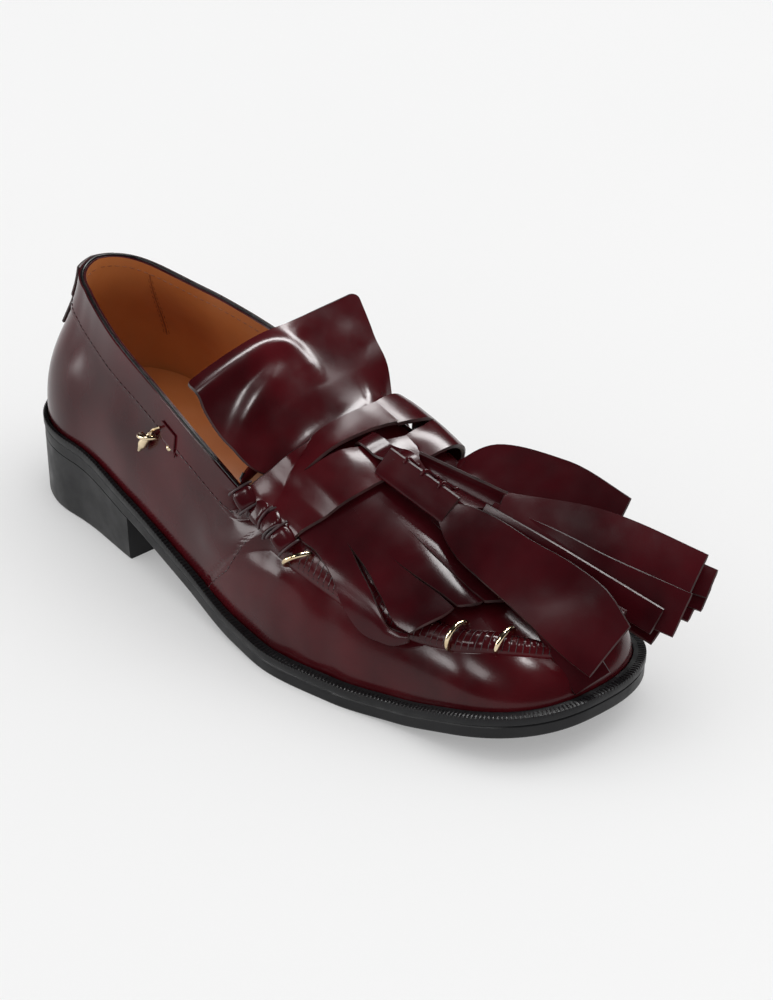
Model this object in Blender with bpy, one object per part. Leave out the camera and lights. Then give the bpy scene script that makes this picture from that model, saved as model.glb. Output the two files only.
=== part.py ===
# Right-hand tassel loafer. Lengths are millimetres here and metres in the model.
# +X runs to the toe, -Y is the outer side, +Z is up. The origin lies on the ground under the heel's middle.

import math
from collections import namedtuple

import bmesh
import bpy
import numpy as np
from mathutils import Vector
from mathutils.bvhtree import BVHTree

MM = 0.001
GAP = 0.3
SHOE_LENGTH = 265.0
HEEL_MIDDLE = 35.0
HEEL_ARC = 34.0
TOE_ARC = 38.0
HEEL_ROUNDNESS = 2.2
TOE_ROUNDNESS = 2.45
HEEL_BREAST = 70.0
HEEL_TAPER = 1.4
OUTSOLE_THICK = 4.5
WELT_THICK = 3.0
UPPER_WALL = 2.0
SEAM_RISE = 2.2
BAND_RISE = 0.8
BAND_WIDTH = 12.5
TONGUE_THICK = 1.6
STRAP_THICK = 1.8
KILTIE_THICK = 1.3
FRINGE_THICK = 1.3
WRAP_THICK = 1.4
ROLL_RADIUS = 3.3
HOOP_WIRE = 0.9

# Places round the outline: 0 at the heel's back, 1 at the toe's tip.
HEEL_END = 0.18
ROLL_AT = 0.492
THROAT_AT = 0.553
TOE_START = 0.80

SoleRow = namedtuple("SoleRow", "along lateral medial underside shelf insole")
SOLE = (
    SoleRow(0.00, 31.5, 32.5, 23.0, 2.0, 5.5),
    SoleRow(0.13, 31.5, 32.5, 22.4, 2.0, 5.2),
    SoleRow(0.26, 36.0, 29.5, 17.0, 2.5, 4.5),
    SoleRow(0.40, 41.0, 27.0, 8.0, 3.0, 3.6),
    SoleRow(0.52, 46.5, 32.0, 1.3, 3.8, 3.0),
    SoleRow(0.60, 49.0, 38.5, 0.0, 4.2, 3.0),
    SoleRow(0.70, 46.0, 44.0, 0.0, 4.4, 3.0),
    SoleRow(0.80, 40.5, 45.5, 1.9, 4.6, 3.0),
    SoleRow(0.88, 37.5, 44.5, 6.6, 4.8, 3.0),
    SoleRow(1.00, 33.0, 40.0, 12.4, 4.8, 3.0),
)

# The collar's edge from the heel's back to the strap's rolls.
CollarRow = namedtuple("CollarRow", "around ahead lateral medial height bulge")
COLLAR = (
    CollarRow(0.000, 12.5, 16.0, 18.5, 84.0, 3.0),
    CollarRow(0.130, 29.0, 16.0, 16.8, 81.0, 2.6),
    CollarRow(0.180, 36.0, 19.4, 17.8, 79.5, 2.5),
    CollarRow(0.250, 54.0, 25.4, 22.6, 76.0, 2.0),
    CollarRow(0.330, 80.0, 30.2, 27.5, 70.0, 1.5),
    CollarRow(0.411, 106.0, 33.5, 30.0, 62.0, 1.5),
    CollarRow(0.492, 131.0, 36.0, 34.0, 54.0, 2.0),
    CollarRow(1.000, 131.0, 36.0, 34.0, 54.0, 2.5),
)

# The crest of the vamp from the throat to the toe, nearer the inner side as on a foot.
RidgeRow = namedtuple("RidgeRow", "around ahead shift height")
RIDGE = (
    RidgeRow(0.553, 136.0, 13.0, 71.5),
    RidgeRow(0.600, 152.0, 13.0, 66.5),
    RidgeRow(0.665, 172.0, 11.0, 57.5),
    RidgeRow(0.750, 196.0, 7.0, 48.5),
    RidgeRow(0.800, 210.0, 5.5, 43.5),
    RidgeRow(1.000, 236.0, 3.0, 33.0),
)

# The middle of the raised moccasin seam, as a level of the upper.
SeamRow = namedtuple("SeamRow", "around level")
SEAM = (
    SeamRow(0.50, 0.42),
    SeamRow(0.68, 0.42),
    SeamRow(0.74, 0.43),
    SeamRow(0.80, 0.49),
    SeamRow(0.86, 0.585),
    SeamRow(0.92, 0.63),
    SeamRow(1.00, 0.65),
)

# The saddle strap from the outer to the inner roll.
# The rear, the front and the slot's edges are distances from the heel.
StrapRow = namedtuple("StrapRow", "across rear front slot_rear slot_front lift")
STRAP = (
    StrapRow(-32.2, 134.5, 158.5, 147.0, 147.0, 3.0),
    StrapRow(-29.0, 137.0, 163.0, 147.5, 147.5, 3.0),
    StrapRow(-24.0, 138.5, 166.5, 149.5, 149.5, 3.0),
    StrapRow(-17.0, 140.5, 169.0, 149.5, 153.5, 3.1),
    StrapRow(-10.0, 141.5, 170.5, 150.5, 156.0, 3.3),
    StrapRow(-3.0, 142.5, 171.5, 151.5, 157.5, 3.5),
    StrapRow(5.0, 143.0, 173.0, 152.5, 158.5, 3.9),
    StrapRow(12.0, 143.5, 174.5, 154.0, 159.0, 4.7),
    StrapRow(18.0, 143.5, 175.5, 156.5, 159.0, 5.3),
    StrapRow(22.0, 143.0, 175.5, 158.0, 158.0, 5.7),
    StrapRow(26.0, 141.5, 172.0, 156.5, 156.5, 5.7),
    StrapRow(27.8, 139.5, 167.0, 154.0, 154.0, 4.6),
)

# The tongue from under the strap to its free end.
# Its height is given at the outer edge, the middle and the inner edge.
TongueRow = namedtuple("TongueRow", "row ahead lateral medial outer middle inner bow")
TONGUE = (
    TongueRow(0, 128.0, 36.0, 30.0, 66.0, 78.0, 78.0, 3.0),
    TongueRow(1, 122.0, 38.5, 31.5, 72.5, 82.0, 82.5, 2.0),
    TongueRow(2, 115.0, 39.5, 33.5, 79.5, 86.7, 88.0, 2.0),
    TongueRow(3, 109.0, 39.5, 35.0, 85.2, 91.2, 92.6, 1.0),
)

# Cuts between the kiltie's strips from root to end, outer side first.
CutRow = namedtuple("CutRow", "root_x root_y split_x split_y end_x end_y")
KILTIE = (
    CutRow(153.0, -30.5, 177.0, -35.5, 206.0, -34.5),
    CutRow(155.0, -25.0, 178.0, -28.5, 211.0, -29.0),
    CutRow(158.0, -17.5, 187.0, -20.5, 217.0, -20.5),
    CutRow(160.0, -9.5, 187.0, -11.5, 223.0, -12.0),
    CutRow(161.0, -1.0, 187.0, -2.0, 227.0, -3.0),
    CutRow(162.0, 8.0, 187.0, 8.5, 228.0, 7.0),
    CutRow(162.0, 16.0, 186.0, 19.0, 224.0, 19.0),
    CutRow(161.0, 24.0, 184.0, 29.0, 214.0, 31.0),
)
KILTIE_LIFT = 0.7
KILTIE_TIP_LIFT = 1.2
CUT_HALF = 0.5

# Leather strips by section: the middle of the section, its width, its tilt (outer edge down) and its crown.
StripRow = namedtuple("StripRow", "at x y z width tilt crown")
FAR_STRIP = (
    StripRow(0.0, 178.0, 18.5, 56.8, 12.0, -10.0, 0.0),
    StripRow(0.3, 188.0, 26.5, 58.0, 20.0, 20.0, 1.5),
    StripRow(0.65, 208.0, 34.0, 57.5, 22.0, 30.0, 2.0),
    StripRow(1.0, 230.0, 43.5, 53.5, 16.0, 50.0, 0.5),
)
TASSEL_STRIPS = {
    "front": (
        StripRow(0.0, 200.5, -2.0, 60.3, 12.0, 40.0, 1.5),
        StripRow(0.5, 237.0, 0.5, 50.5, 23.0, 42.0, 2.5),
        StripRow(1.0, 267.5, 3.5, 36.5, 19.0, 52.0, 1.5),
    ),
    "front_under": (
        StripRow(0.0, 201.5, -0.5, 57.0, 8.0, 25.0, 1.0),
        StripRow(0.5, 236.0, -1.0, 47.6, 13.0, 33.0, 1.0),
        StripRow(1.0, 262.0, -1.0, 28.5, 13.0, 34.0, 0.5),
    ),
    "middle": (
        StripRow(0.0, 204.5, 5.5, 58.0, 9.0, 0.0, 0.5),
        StripRow(0.5, 234.0, 11.0, 48.5, 12.0, 5.0, 0.5),
        StripRow(1.0, 258.0, 17.0, 40.0, 13.0, 10.0, 0.5),
    ),
    "back_top": (
        StripRow(0.0, 208.0, 11.5, 60.8, 11.0, -8.0, 1.5),
        StripRow(0.5, 237.0, 27.5, 57.0, 18.0, 14.0, 2.0),
        StripRow(1.0, 268.5, 41.0, 50.5, 15.0, 38.0, 1.0),
    ),
    "back_front": (
        StripRow(0.0, 206.0, 8.0, 59.5, 7.0, 40.0, 0.5),
        StripRow(0.5, 237.0, 17.0, 49.5, 15.0, 56.0, 0.5),
        StripRow(1.0, 271.0, 31.5, 40.5, 15.0, 54.0, 0.5),
    ),
    "back_under": (
        StripRow(0.0, 208.0, 11.5, 57.3, 9.0, 0.0, 0.5),
        StripRow(0.5, 239.0, 31.0, 51.5, 16.0, 20.0, 1.0),
        StripRow(1.0, 273.5, 46.0, 46.0, 11.0, 45.0, 0.5),
    ),
    "back_low": (
        StripRow(0.0, 206.0, 8.5, 56.3, 8.0, 0.0, 0.5),
        StripRow(0.5, 234.0, 20.0, 44.5, 15.0, 12.0, 0.5),
        StripRow(1.0, 263.5, 31.0, 33.5, 16.0, 28.0, 0.5),
    ),
}

# The tassel's head: its axis and the half sizes of its oval.
HeadRow = namedtuple("HeadRow", "at x y z half_wide half_high")
HEAD = (
    HeadRow(0.0, 170.5, -2.0, 70.4, 8.0, 3.9),
    HeadRow(1.0, 200.5, 5.0, 61.0, 10.5, 5.2),
)
LACED_GAP = 40.0
HEAD_SLANT = 0.55

# The tassel's loop: distance from the heel, and height above the vamp.
LOOP = (
    (153.2, 2.4),
    (154.2, 5.2),
    (157.0, 6.3),
    (161.0, 6.6),
    (164.5, 8.7),
    (166.6, 10.9),
    (168.2, 12.0),
)

# Metal hoops across the seam: where each end meets the upper.
HoopRow = namedtuple("HoopRow", "name side low_at low_level high_at high_level")
HOOPS = (
    HoopRow("hoop_outer", -1, 0.586, 0.350, 0.613, 0.440),
    HoopRow("hoop_inner", 1, 0.586, 0.350, 0.613, 0.440),
    HoopRow("hoop_toe_back", -1, 0.801, 0.420, 0.811, 0.605),
    HoopRow("hoop_toe_front", -1, 0.860, 0.520, 0.885, 0.700),
    HoopRow("hoop_side", -1, 0.322, 0.600, 0.346, 0.700),
)

# The whip-stitched rolls along the strap's ends.
RollRow = namedtuple("RollRow", "at around level")
ROLL = (
    RollRow(0.0, 0.500, 0.86),
    RollRow(0.33, 0.530, 0.52),
    RollRow(0.66, 0.558, 0.44),
    RollRow(1.0, 0.590, 0.42),
)
ROLL_LUMPS = 5

# Where the heel strip and the side tab lie, as the side and the place round the outline.
BACK_STRIP_PLACES = ((1, 0.045), (1, 0.022), (-1, 0.0), (-1, 0.022), (-1, 0.045))
SIDE_TAB_PLACES = ((-1, 0.354), (-1, 0.366), (-1, 0.378))
SIDE_FULL = 0.55
TOP_FULL = 0.66
SEAM_HALF = 0.06


def clear_scene():
    for old in list(bpy.data.objects):
        bpy.data.objects.remove(old, do_unlink=True)


def read(rows, name, at):
    """The named column at these places, along a smooth curve that doesn't overshoot its rows."""
    xs = np.array([row[0] for row in rows], float)
    ys = np.array([getattr(row, name) for row in rows], float)
    step = np.diff(xs)
    slope = np.diff(ys) / step
    lean = np.zeros(len(xs))
    lean[0] = slope[0]
    lean[-1] = slope[-1]
    for k in range(1, len(xs) - 1):
        if slope[k - 1] * slope[k] > 0:
            first = 2 * step[k] + step[k - 1]
            second = step[k] + 2 * step[k - 1]
            lean[k] = (first + second) / (first / slope[k - 1] + second / slope[k])
    at = np.clip(np.asarray(at, float), xs[0], xs[-1])
    k = np.clip(np.searchsorted(xs, at, side="right") - 1, 0, len(xs) - 2)
    s = (at - xs[k]) / step[k]
    start = ys[k] * (1 + 2 * s) * (1 - s) ** 2 + lean[k] * step[k] * s * (1 - s) ** 2
    end = ys[k + 1] * s * s * (3 - 2 * s) + lean[k + 1] * step[k] * s * s * (s - 1)
    return start + end


def ease(low, high, at):
    s = np.clip((np.asarray(at, float) - low) / (high - low), 0, 1)
    return s * s * (3 - 2 * s)


def outline_x(around):
    turn = np.clip(around / HEEL_END, 0, 1) * math.pi / 2
    heel = HEEL_ARC * (1 - np.clip(np.cos(turn), 0, 1) ** (2 / HEEL_ROUNDNESS))
    flank = (around - HEEL_END) / (TOE_START - HEEL_END) * (SHOE_LENGTH - TOE_ARC - HEEL_ARC) + HEEL_ARC
    turn = np.clip((around - TOE_START) / (1 - TOE_START), 0, 1) * math.pi / 2
    toe = SHOE_LENGTH - TOE_ARC * (1 - np.sin(turn) ** (2 / TOE_ROUNDNESS))
    return np.where(around < HEEL_END, heel, np.where(around > TOE_START, toe, flank))


def end_round(around):
    turn = np.clip(around / HEEL_END, 0, 1) * math.pi / 2
    heel = np.sin(turn) ** (2 / HEEL_ROUNDNESS)
    turn = np.clip((around - TOE_START) / (1 - TOE_START), 0, 1) * math.pi / 2
    toe = np.clip(np.cos(turn), 0, 1) ** (2 / TOE_ROUNDNESS)
    return np.where(around < HEEL_END, heel, np.where(around > TOE_START, toe, 1.0))


def sole_edge(side, around):
    x = outline_x(around)
    half = read(SOLE, "lateral" if side < 0 else "medial", x / SHOE_LENGTH)
    return np.stack([x, side * half * end_round(around)], -1)


def edge_normal(side, around):
    near = np.clip(around, 0.002, 0.998)
    run = sole_edge(side, near + 0.001) - sole_edge(side, near - 0.001)
    out = np.stack([run[..., 1], -run[..., 0]], -1) * -side
    return out / np.linalg.norm(out, axis=-1, keepdims=True)


def inset_edge(side, around, inset):
    around = np.asarray(around, float)
    inset = np.broadcast_to(inset, around.shape)
    place = sole_edge(side, around) - edge_normal(side, around) * inset[..., None]
    tip = (around <= 0) | (around >= 1)
    place[..., 1] = np.where(tip, 0.0, place[..., 1])
    return place


def underside(x):
    return read(SOLE, "underside", x / SHOE_LENGTH)


def outsole_top(x):
    return underside(x) + OUTSOLE_THICK


def shelf(x):
    return read(SOLE, "shelf", x / SHOE_LENGTH)


def stations(heel, flank, toe):
    """Places from the heel's back to the toe's tip, closer together round both ends."""
    back = np.linspace(0, HEEL_END, heel, endpoint=False)
    side = np.linspace(HEEL_END, TOE_START, flank, endpoint=False)
    return np.concatenate([back, side, np.linspace(TOE_START, 1, toe)])


def round_loop(places):
    """The side and place of each column of a loop: down the outer side, round the toe and back."""
    outer = [(-1, place) for place in places]
    inner = [(1, place) for place in places[-2:0:-1]]
    return outer + inner


def collar_point(side, around):
    half = read(COLLAR, "lateral" if side < 0 else "medial", around)
    ahead = read(COLLAR, "ahead", around)
    back = COLLAR[0].ahead
    on_heel = back + (HEEL_ARC + 1.0 - back) * outline_x(around) / HEEL_ARC
    ahead = np.where(around < HEEL_END, on_heel, ahead)
    return np.stack([ahead, side * half * end_round(around), read(COLLAR, "height", around)], -1)


def ridge_point(around):
    columns = [read(RIDGE, name, around) for name in ("ahead", "shift", "height")]
    return np.stack(columns, -1)


def top_point(side, around):
    """The upper's top edge: the collar, then up the throat, then along the crest."""
    arch = np.clip((around - ROLL_AT) / (THROAT_AT - ROLL_AT), 0, 1)[..., None] * math.pi / 2
    collar = collar_point(side, np.minimum(around, ROLL_AT))
    throat = ridge_point(np.maximum(around, THROAT_AT))
    turn = np.concatenate([1 - np.cos(arch), 1 - np.cos(arch), np.sin(arch)], -1)
    return collar + (throat - collar) * turn


def upper_point(side, around, level):
    """A point of the upper's outer face, level 0 at the welt and 1 at the top edge."""
    around = np.asarray(around, float)
    flat = inset_edge(side, around, shelf(outline_x(around)))
    foot = np.concatenate([flat, (outsole_top(flat[..., 0]) + GAP)[..., None]], -1)
    top = top_point(side, around)
    out = np.concatenate([edge_normal(side, around), np.zeros(around.shape + (1,))], -1)
    tip = ((around <= 0) | (around >= 1))[..., None]
    out = np.where(tip, np.sign(around - 0.5)[..., None] * np.array([1.0, 0, 0]), out)
    rise = np.zeros_like(foot)
    rise[..., 2] = top[..., 2] - foot[..., 2]
    swell = out * read(COLLAR, "bulge", around)[..., None]
    dome = ease(ROLL_AT - 0.06, THROAT_AT + 0.02, around)[..., None]
    across = (foot - top) * np.array([1.0, 1.0, 0.0])
    low = foot + rise * SIDE_FULL + swell
    wall = top - rise * 0.40 + swell
    vault = top + across * TOP_FULL
    high = wall + (vault - wall) * dome
    s = np.asarray(level, float)[..., None]
    return foot * (1 - s) ** 3 + 3 * low * s * (1 - s) ** 2 + 3 * high * s * s * (1 - s) + top * s ** 3


def band_level(side, around):
    """The level of the collar band's lower edge."""
    height = read(COLLAR, "height", around) - outsole_top(outline_x(around))
    return 1 - BAND_WIDTH / height


def seam_rise(around, level):
    on_vamp = ease(ROLL_AT + 0.02, ROLL_AT + 0.05, around)
    middle = read(SEAM, "level", around)
    return SEAM_RISE * on_vamp * np.clip(1 - (np.abs(level - middle) / SEAM_HALF) ** 2, 0, 1)


def band_rise(side, around, level):
    on_quarter = 1 - ease(ROLL_AT - 0.02, ROLL_AT + 0.01, around)
    return BAND_RISE * on_quarter * ease(-0.012, 0.004, level - band_level(side, around))


def upper_grid(places, rows):
    """Points [column, row] of the upper's outer face, with its raised seam and collar band."""
    columns = round_loop(places)
    levels = np.array([rows(side, place) for side, place in columns])
    grid = np.zeros(levels.shape + (3,))
    lift = np.zeros(levels.shape)
    for i, (side, place) in enumerate(columns):
        around = np.full(levels.shape[1], place)
        grid[i] = upper_point(side, around, levels[i])
        lift[i] = seam_rise(around, levels[i]) + band_rise(side, around, levels[i])
    run = np.roll(grid, -1, 0) - np.roll(grid, 1, 0)
    up = np.gradient(grid, axis=1)
    normal = np.cross(run, up)
    normal /= np.maximum(np.linalg.norm(normal, axis=-1, keepdims=True), 1e-9)
    return columns, grid + normal * lift[..., None]


def upper_faces(columns, rows):
    """Quads of the upper's face, its two sides joined along the crest."""
    count = len(columns)
    index = np.arange(count * rows).reshape(count, rows)
    half = count // 2
    for i in range(half + 1, count):
        mirror = count - i
        if columns[mirror][1] >= THROAT_AT - 1e-9:
            index[i, rows - 1] = index[mirror, rows - 1]
    faces = []
    for i in range(count):
        j = (i + 1) % count
        for k in range(rows - 1):
            corners = [index[i, k], index[j, k], index[j, k + 1], index[i, k + 1]]
            faces.append([int(c) for c in dict.fromkeys(corners)])
    return faces


def make_object(name, points, faces, colour, rough, metal=0.0):
    mesh = bpy.data.meshes.new(name)
    moved = (np.asarray(points, float) - np.array([HEEL_MIDDLE, 0, 0])) * MM
    mesh.from_pydata([tuple(p) for p in moved], [], [list(f) for f in faces])
    work = bmesh.new()
    work.from_mesh(mesh)
    loose = [v for v in work.verts if not v.link_faces]
    bmesh.ops.delete(work, geom=loose, context="VERTS")
    bmesh.ops.remove_doubles(work, verts=work.verts, dist=1e-7)
    bmesh.ops.recalc_face_normals(work, faces=work.faces)
    work.to_mesh(mesh)
    work.free()
    thing = bpy.data.objects.new(name, mesh)
    bpy.context.scene.collection.objects.link(thing)
    surface = bpy.data.materials.new(name)
    surface.use_nodes = True
    shader = surface.node_tree.nodes["Principled BSDF"]
    shader.inputs["Base Color"].default_value = (*colour, 1.0)
    shader.inputs["Roughness"].default_value = rough
    shader.inputs["Metallic"].default_value = metal
    mesh.materials.append(surface)
    return thing


def thicken(thing, thick, side):
    solid = thing.modifiers.new("leather", "SOLIDIFY")
    solid.thickness = thick * MM
    solid.offset = side
    solid.use_even_offset = True
    solid.use_rim = True


def slab(name, places, low_inset, high_inset, low, high, across, colour, rough):
    """A plate cut to the sole's outline, from the heel's back as far as the last place."""
    points = []
    rows = []
    for inset, level in ((low_inset, low), (high_inset, high)):
        for place in places:
            at = np.array([place])
            ends = [inset_edge(side, at, inset(outline_x(at)))[0] for side in (-1, 1)]
            row = []
            parts = 1 if place in (0.0, 1.0) else across
            for k in range(parts + 1 if parts > 1 else 1):
                spot = ends[0] + (ends[1] - ends[0]) * k / parts
                row.append(len(points))
                points.append([spot[0], spot[1], float(level(spot[0]))])
            rows.append(row if len(row) > 1 else row * (across + 1))
    count = len(places)
    faces = []
    for layer in (0, count):
        for i in range(count - 1):
            here, ahead = rows[layer + i], rows[layer + i + 1]
            for k in range(across):
                faces.append([here[k], here[k + 1], ahead[k + 1], ahead[k]])
    for i in range(count - 1):
        for k in (0, across):
            faces.append([rows[i][k], rows[i + 1][k], rows[count + i + 1][k], rows[count + i][k]])
    if places[-1] < 1:
        for k in range(across):
            faces.append([rows[count - 1][k], rows[count - 1][k + 1], rows[-1][k + 1], rows[-1][k]])
    faces = [list(dict.fromkeys(face)) for face in faces]
    faces = [face for face in faces if len(face) > 2]
    return make_object(name, points, faces, colour, rough)


def place_at(x):
    """The flank's place at this distance from the heel's back."""
    return HEEL_END + (x - HEEL_ARC) / (SHOE_LENGTH - TOE_ARC - HEEL_ARC) * (TOE_START - HEEL_END)


LEATHER = (0.060, 0.008, 0.012)
BLACK = (0.012, 0.012, 0.013)
TAN = (0.36, 0.13, 0.04)
METAL = (0.80, 0.68, 0.45)


def make_sole():
    places = stations(6, 19, 9)
    slab(
        "outsole",
        places,
        lambda x: 0.5 + 0 * x,
        lambda x: 0.2 + 0 * x,
        underside,
        outsole_top,
        4,
        BLACK,
        0.4,
    )
    ahead = [place_at(46.0), place_at(58.0), place_at(HEEL_BREAST)]
    back = np.concatenate([np.linspace(0, HEEL_END, 8), ahead])
    slab(
        "heel",
        back,
        lambda x: HEEL_TAPER + 0 * x,
        lambda x: 0.4 + 0 * x,
        lambda x: 0 * x,
        lambda x: underside(x) - GAP,
        4,
        BLACK,
        0.4,
    )
    inner = lambda x: shelf(x) + UPPER_WALL + 0.6
    slab(
        "insole",
        places,
        inner,
        inner,
        lambda x: outsole_top(x) + GAP,
        lambda x: outsole_top(x) + GAP + read(SOLE, "insole", x / SHOE_LENGTH),
        4,
        TAN,
        0.5,
    )


def make_welt():
    """A ring on the outsole, its inner edge just clear of the upper."""
    columns = round_loop(stations(7, 20, 10))
    points = []
    for side, place in columns:
        at = np.array([place])
        x = outline_x(at)
        near = [upper_point(side, at, np.array([v]))[0] for v in (0.0, 0.04, 0.08)]
        out = edge_normal(side, at)[0]
        if place in (0.0, 1.0):
            out = np.array([np.sign(place - 0.5), 0.0])
        reach = max(float(np.dot(p[:2], out)) for p in near)
        start = near[0][:2] + out * (reach - float(np.dot(near[0][:2], out)) + GAP + 0.1)
        edge = inset_edge(side, at, np.array([0.0]))[0]
        curb = inset_edge(side, at, np.array([0.7]))[0]
        low = float(outsole_top(x[0])) + GAP
        high = low + WELT_THICK
        for spot, z in ((start, low), (edge, low), (edge, high - 0.7), (curb, high), (start, high)):
            points.append([spot[0], spot[1], z])
    faces = []
    for i in range(len(columns)):
        j = (i + 1) % len(columns)
        for k in range(5):
            m = (k + 1) % 5
            faces.append([5 * i + k, 5 * j + k, 5 * j + m, 5 * i + m])
    make_object("welt", points, faces, BLACK, 0.4)


def level_rows(side, around):
    """Levels of the upper's rows, gathered to the seam on the vamp and to the band on the quarters."""
    middle = float(read(SEAM, "level", around))
    band = float(band_level(side, around))
    vamp = [0.0, 0.10, 0.22, middle - 0.13, middle - 0.06, middle, middle + 0.06]
    vamp += list(middle + 0.06 + (0.94 - middle) * np.array([0.22, 0.48, 0.74, 1.0]))
    quarter = [0.0, 0.10, 0.22, 0.36, 0.50, 0.62, 0.72, band - 0.012, band + 0.004, (band + 1) / 2, 1.0]
    mix = float(ease(ROLL_AT - 0.03, ROLL_AT + 0.03, around))
    return np.array(quarter) * (1 - mix) + np.array(vamp) * mix


def make_upper():
    extra = [ROLL_AT, ROLL_AT + 0.02, ROLL_AT + 0.04, THROAT_AT]
    places = np.unique(np.concatenate([stations(6, 15, 8), extra]))
    columns, grid = upper_grid(places, level_rows)
    thing = make_object("upper", grid.reshape(-1, 3), upper_faces(columns, grid.shape[1]), LEATHER, 0.2)
    thicken(thing, UPPER_WALL, -1.0)


def upper_normal(side, around, level):
    across = upper_point(side, around + 0.003, level) - upper_point(side, around - 0.003, level)
    rise = upper_point(side, around, level + 0.004) - upper_point(side, around, level - 0.004)
    out = np.cross(across, rise) * -side
    return out / np.linalg.norm(out, axis=-1, keepdims=True)


def on_face(side, around, level, lift):
    """A point this far off the upper's face, above its seam and band."""
    around = np.atleast_1d(np.asarray(around, float))
    level = np.atleast_1d(np.asarray(level, float))
    raised = seam_rise(around, level) + band_rise(side, around, level)
    near = np.clip(around, 0.004, 0.996)
    return upper_point(side, around, level) + upper_normal(side, near, level) * (raised + lift)[..., None]


def vamp_tree():
    """The vamp's face, to lay the strap and kiltie on."""
    places = stations(10, 60, 24)
    columns, grid = upper_grid(places, lambda side, around: np.linspace(0, 1, 60))
    points = [Vector(p) for p in grid.reshape(-1, 3)]
    return BVHTree.FromPolygons(points, upper_faces(columns, grid.shape[1]))


def on_vamp(tree, x, y, lift):
    hit, normal = None, None
    reach = y
    while hit is None:
        hit, normal, _, _ = tree.ray_cast(Vector((x, reach, 300.0)), Vector((0, 0, -1)))
        reach *= 0.97
    if normal.z < 0:
        normal = -normal
    return np.array(hit) + np.array(normal) * lift


def sheet(name, points, faces, thick, side, colour=None):
    thing = make_object(name, points, faces, colour or LEATHER, 0.2)
    thicken(thing, thick, side)
    return thing


def grid_faces(rows, columns):
    return [
        [i * columns + k, (i + 1) * columns + k, (i + 1) * columns + k + 1, i * columns + k + 1]
        for i in range(rows - 1)
        for k in range(columns - 1)
    ]


def face_up(thing):
    """Turns an open sheet's faces to look upwards."""
    work = bmesh.new()
    work.from_mesh(thing.data)
    if sum(f.normal.z * f.calc_area() for f in work.faces) < 0:
        bmesh.ops.reverse_faces(work, faces=work.faces)
    work.to_mesh(thing.data)
    work.free()


def make_strap(tree):
    points = []
    for row in STRAP:
        for x in (row.rear, (row.rear + row.slot_rear) / 2, row.slot_rear, row.slot_front, row.front):
            points.append(on_vamp(tree, x, row.across, row.lift))
    faces = []
    for i in range(len(STRAP) - 1):
        for k in (0, 1, 3):
            faces.append([5 * i + k, 5 * i + 5 + k, 5 * i + 6 + k, 5 * i + 1 + k])
    thing = sheet("strap", points, faces, STRAP_THICK, 1.0)
    face_up(thing)


def make_tongue(tree):
    """A flared sheet: two rows lie on the vamp under the strap and the rest stand free."""
    outs = np.linspace(-1, 1, 11)
    points = []
    for x, spread, lift in ((147.0, 0.80, 0.5), (139.5, 0.92, 0.5)):
        for u in outs:
            y = u * (31.0 if u < 0 else 28.0) * spread
            points.append(on_vamp(tree, x - 3.0 * u * u, y, lift))
    for row in TONGUE:
        for u in outs:
            y = u * (row.lateral if u < 0 else row.medial)
            edge = row.outer if u < 0 else row.inner
            z = row.middle + (edge - row.middle) * abs(u) ** 1.6
            points.append([row.ahead + row.bow * u * u * (1 if u < 0 else 0.5), y, z])
    thing = sheet("tongue", points, grid_faces(len(TONGUE) + 2, len(outs)), TONGUE_THICK, 1.0)
    face_up(thing)


def ribbon(rows, steps, across):
    """Points of a leather strip drawn through its sections."""
    points = []
    spine = []
    for t in np.linspace(0, 1, steps):
        spine.append([read(rows, name, t) for name in ("x", "y", "z", "width", "tilt", "crown")])
    spine = np.array(spine, float)
    run = np.gradient(spine[:, :3], axis=0)
    for place, heading in zip(spine, run):
        level = np.array([heading[1], -heading[0], 0.0])
        level /= np.linalg.norm(level)
        rise = np.cross(level, heading / np.linalg.norm(heading))
        rise = rise if rise[2] > 0 else -rise
        tilt = math.radians(place[4])
        out = level * math.cos(tilt) - rise * math.sin(tilt)
        top = rise * math.cos(tilt) + level * math.sin(tilt)
        for k in range(across):
            u = 2 * k / (across - 1) - 1
            points.append(place[:3] + out * u * place[3] / 2 + top * place[5] * (1 - u * u))
    return points


def make_strip(name, rows, steps=7, across=3):
    thing = sheet(name, ribbon(rows, steps, across), grid_faces(steps, across), FRINGE_THICK, 0.0)
    face_up(thing)
    return thing


def fuse(thing, others):
    for other in others:
        join = thing.modifiers.new(other.name, "BOOLEAN")
        join.operation = "UNION"
        join.solver = "EXACT"
        join.object = other
        other.hide_render = True
        other.display_type = "WIRE"


def cut_place(cut, share):
    root = np.array([cut.root_x, cut.root_y])
    split = np.array([cut.split_x, cut.split_y])
    end = np.array([cut.end_x, cut.end_y])
    return root + (split - root) * share if share <= 1 else split + (end - split) * (share - 1)


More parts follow.
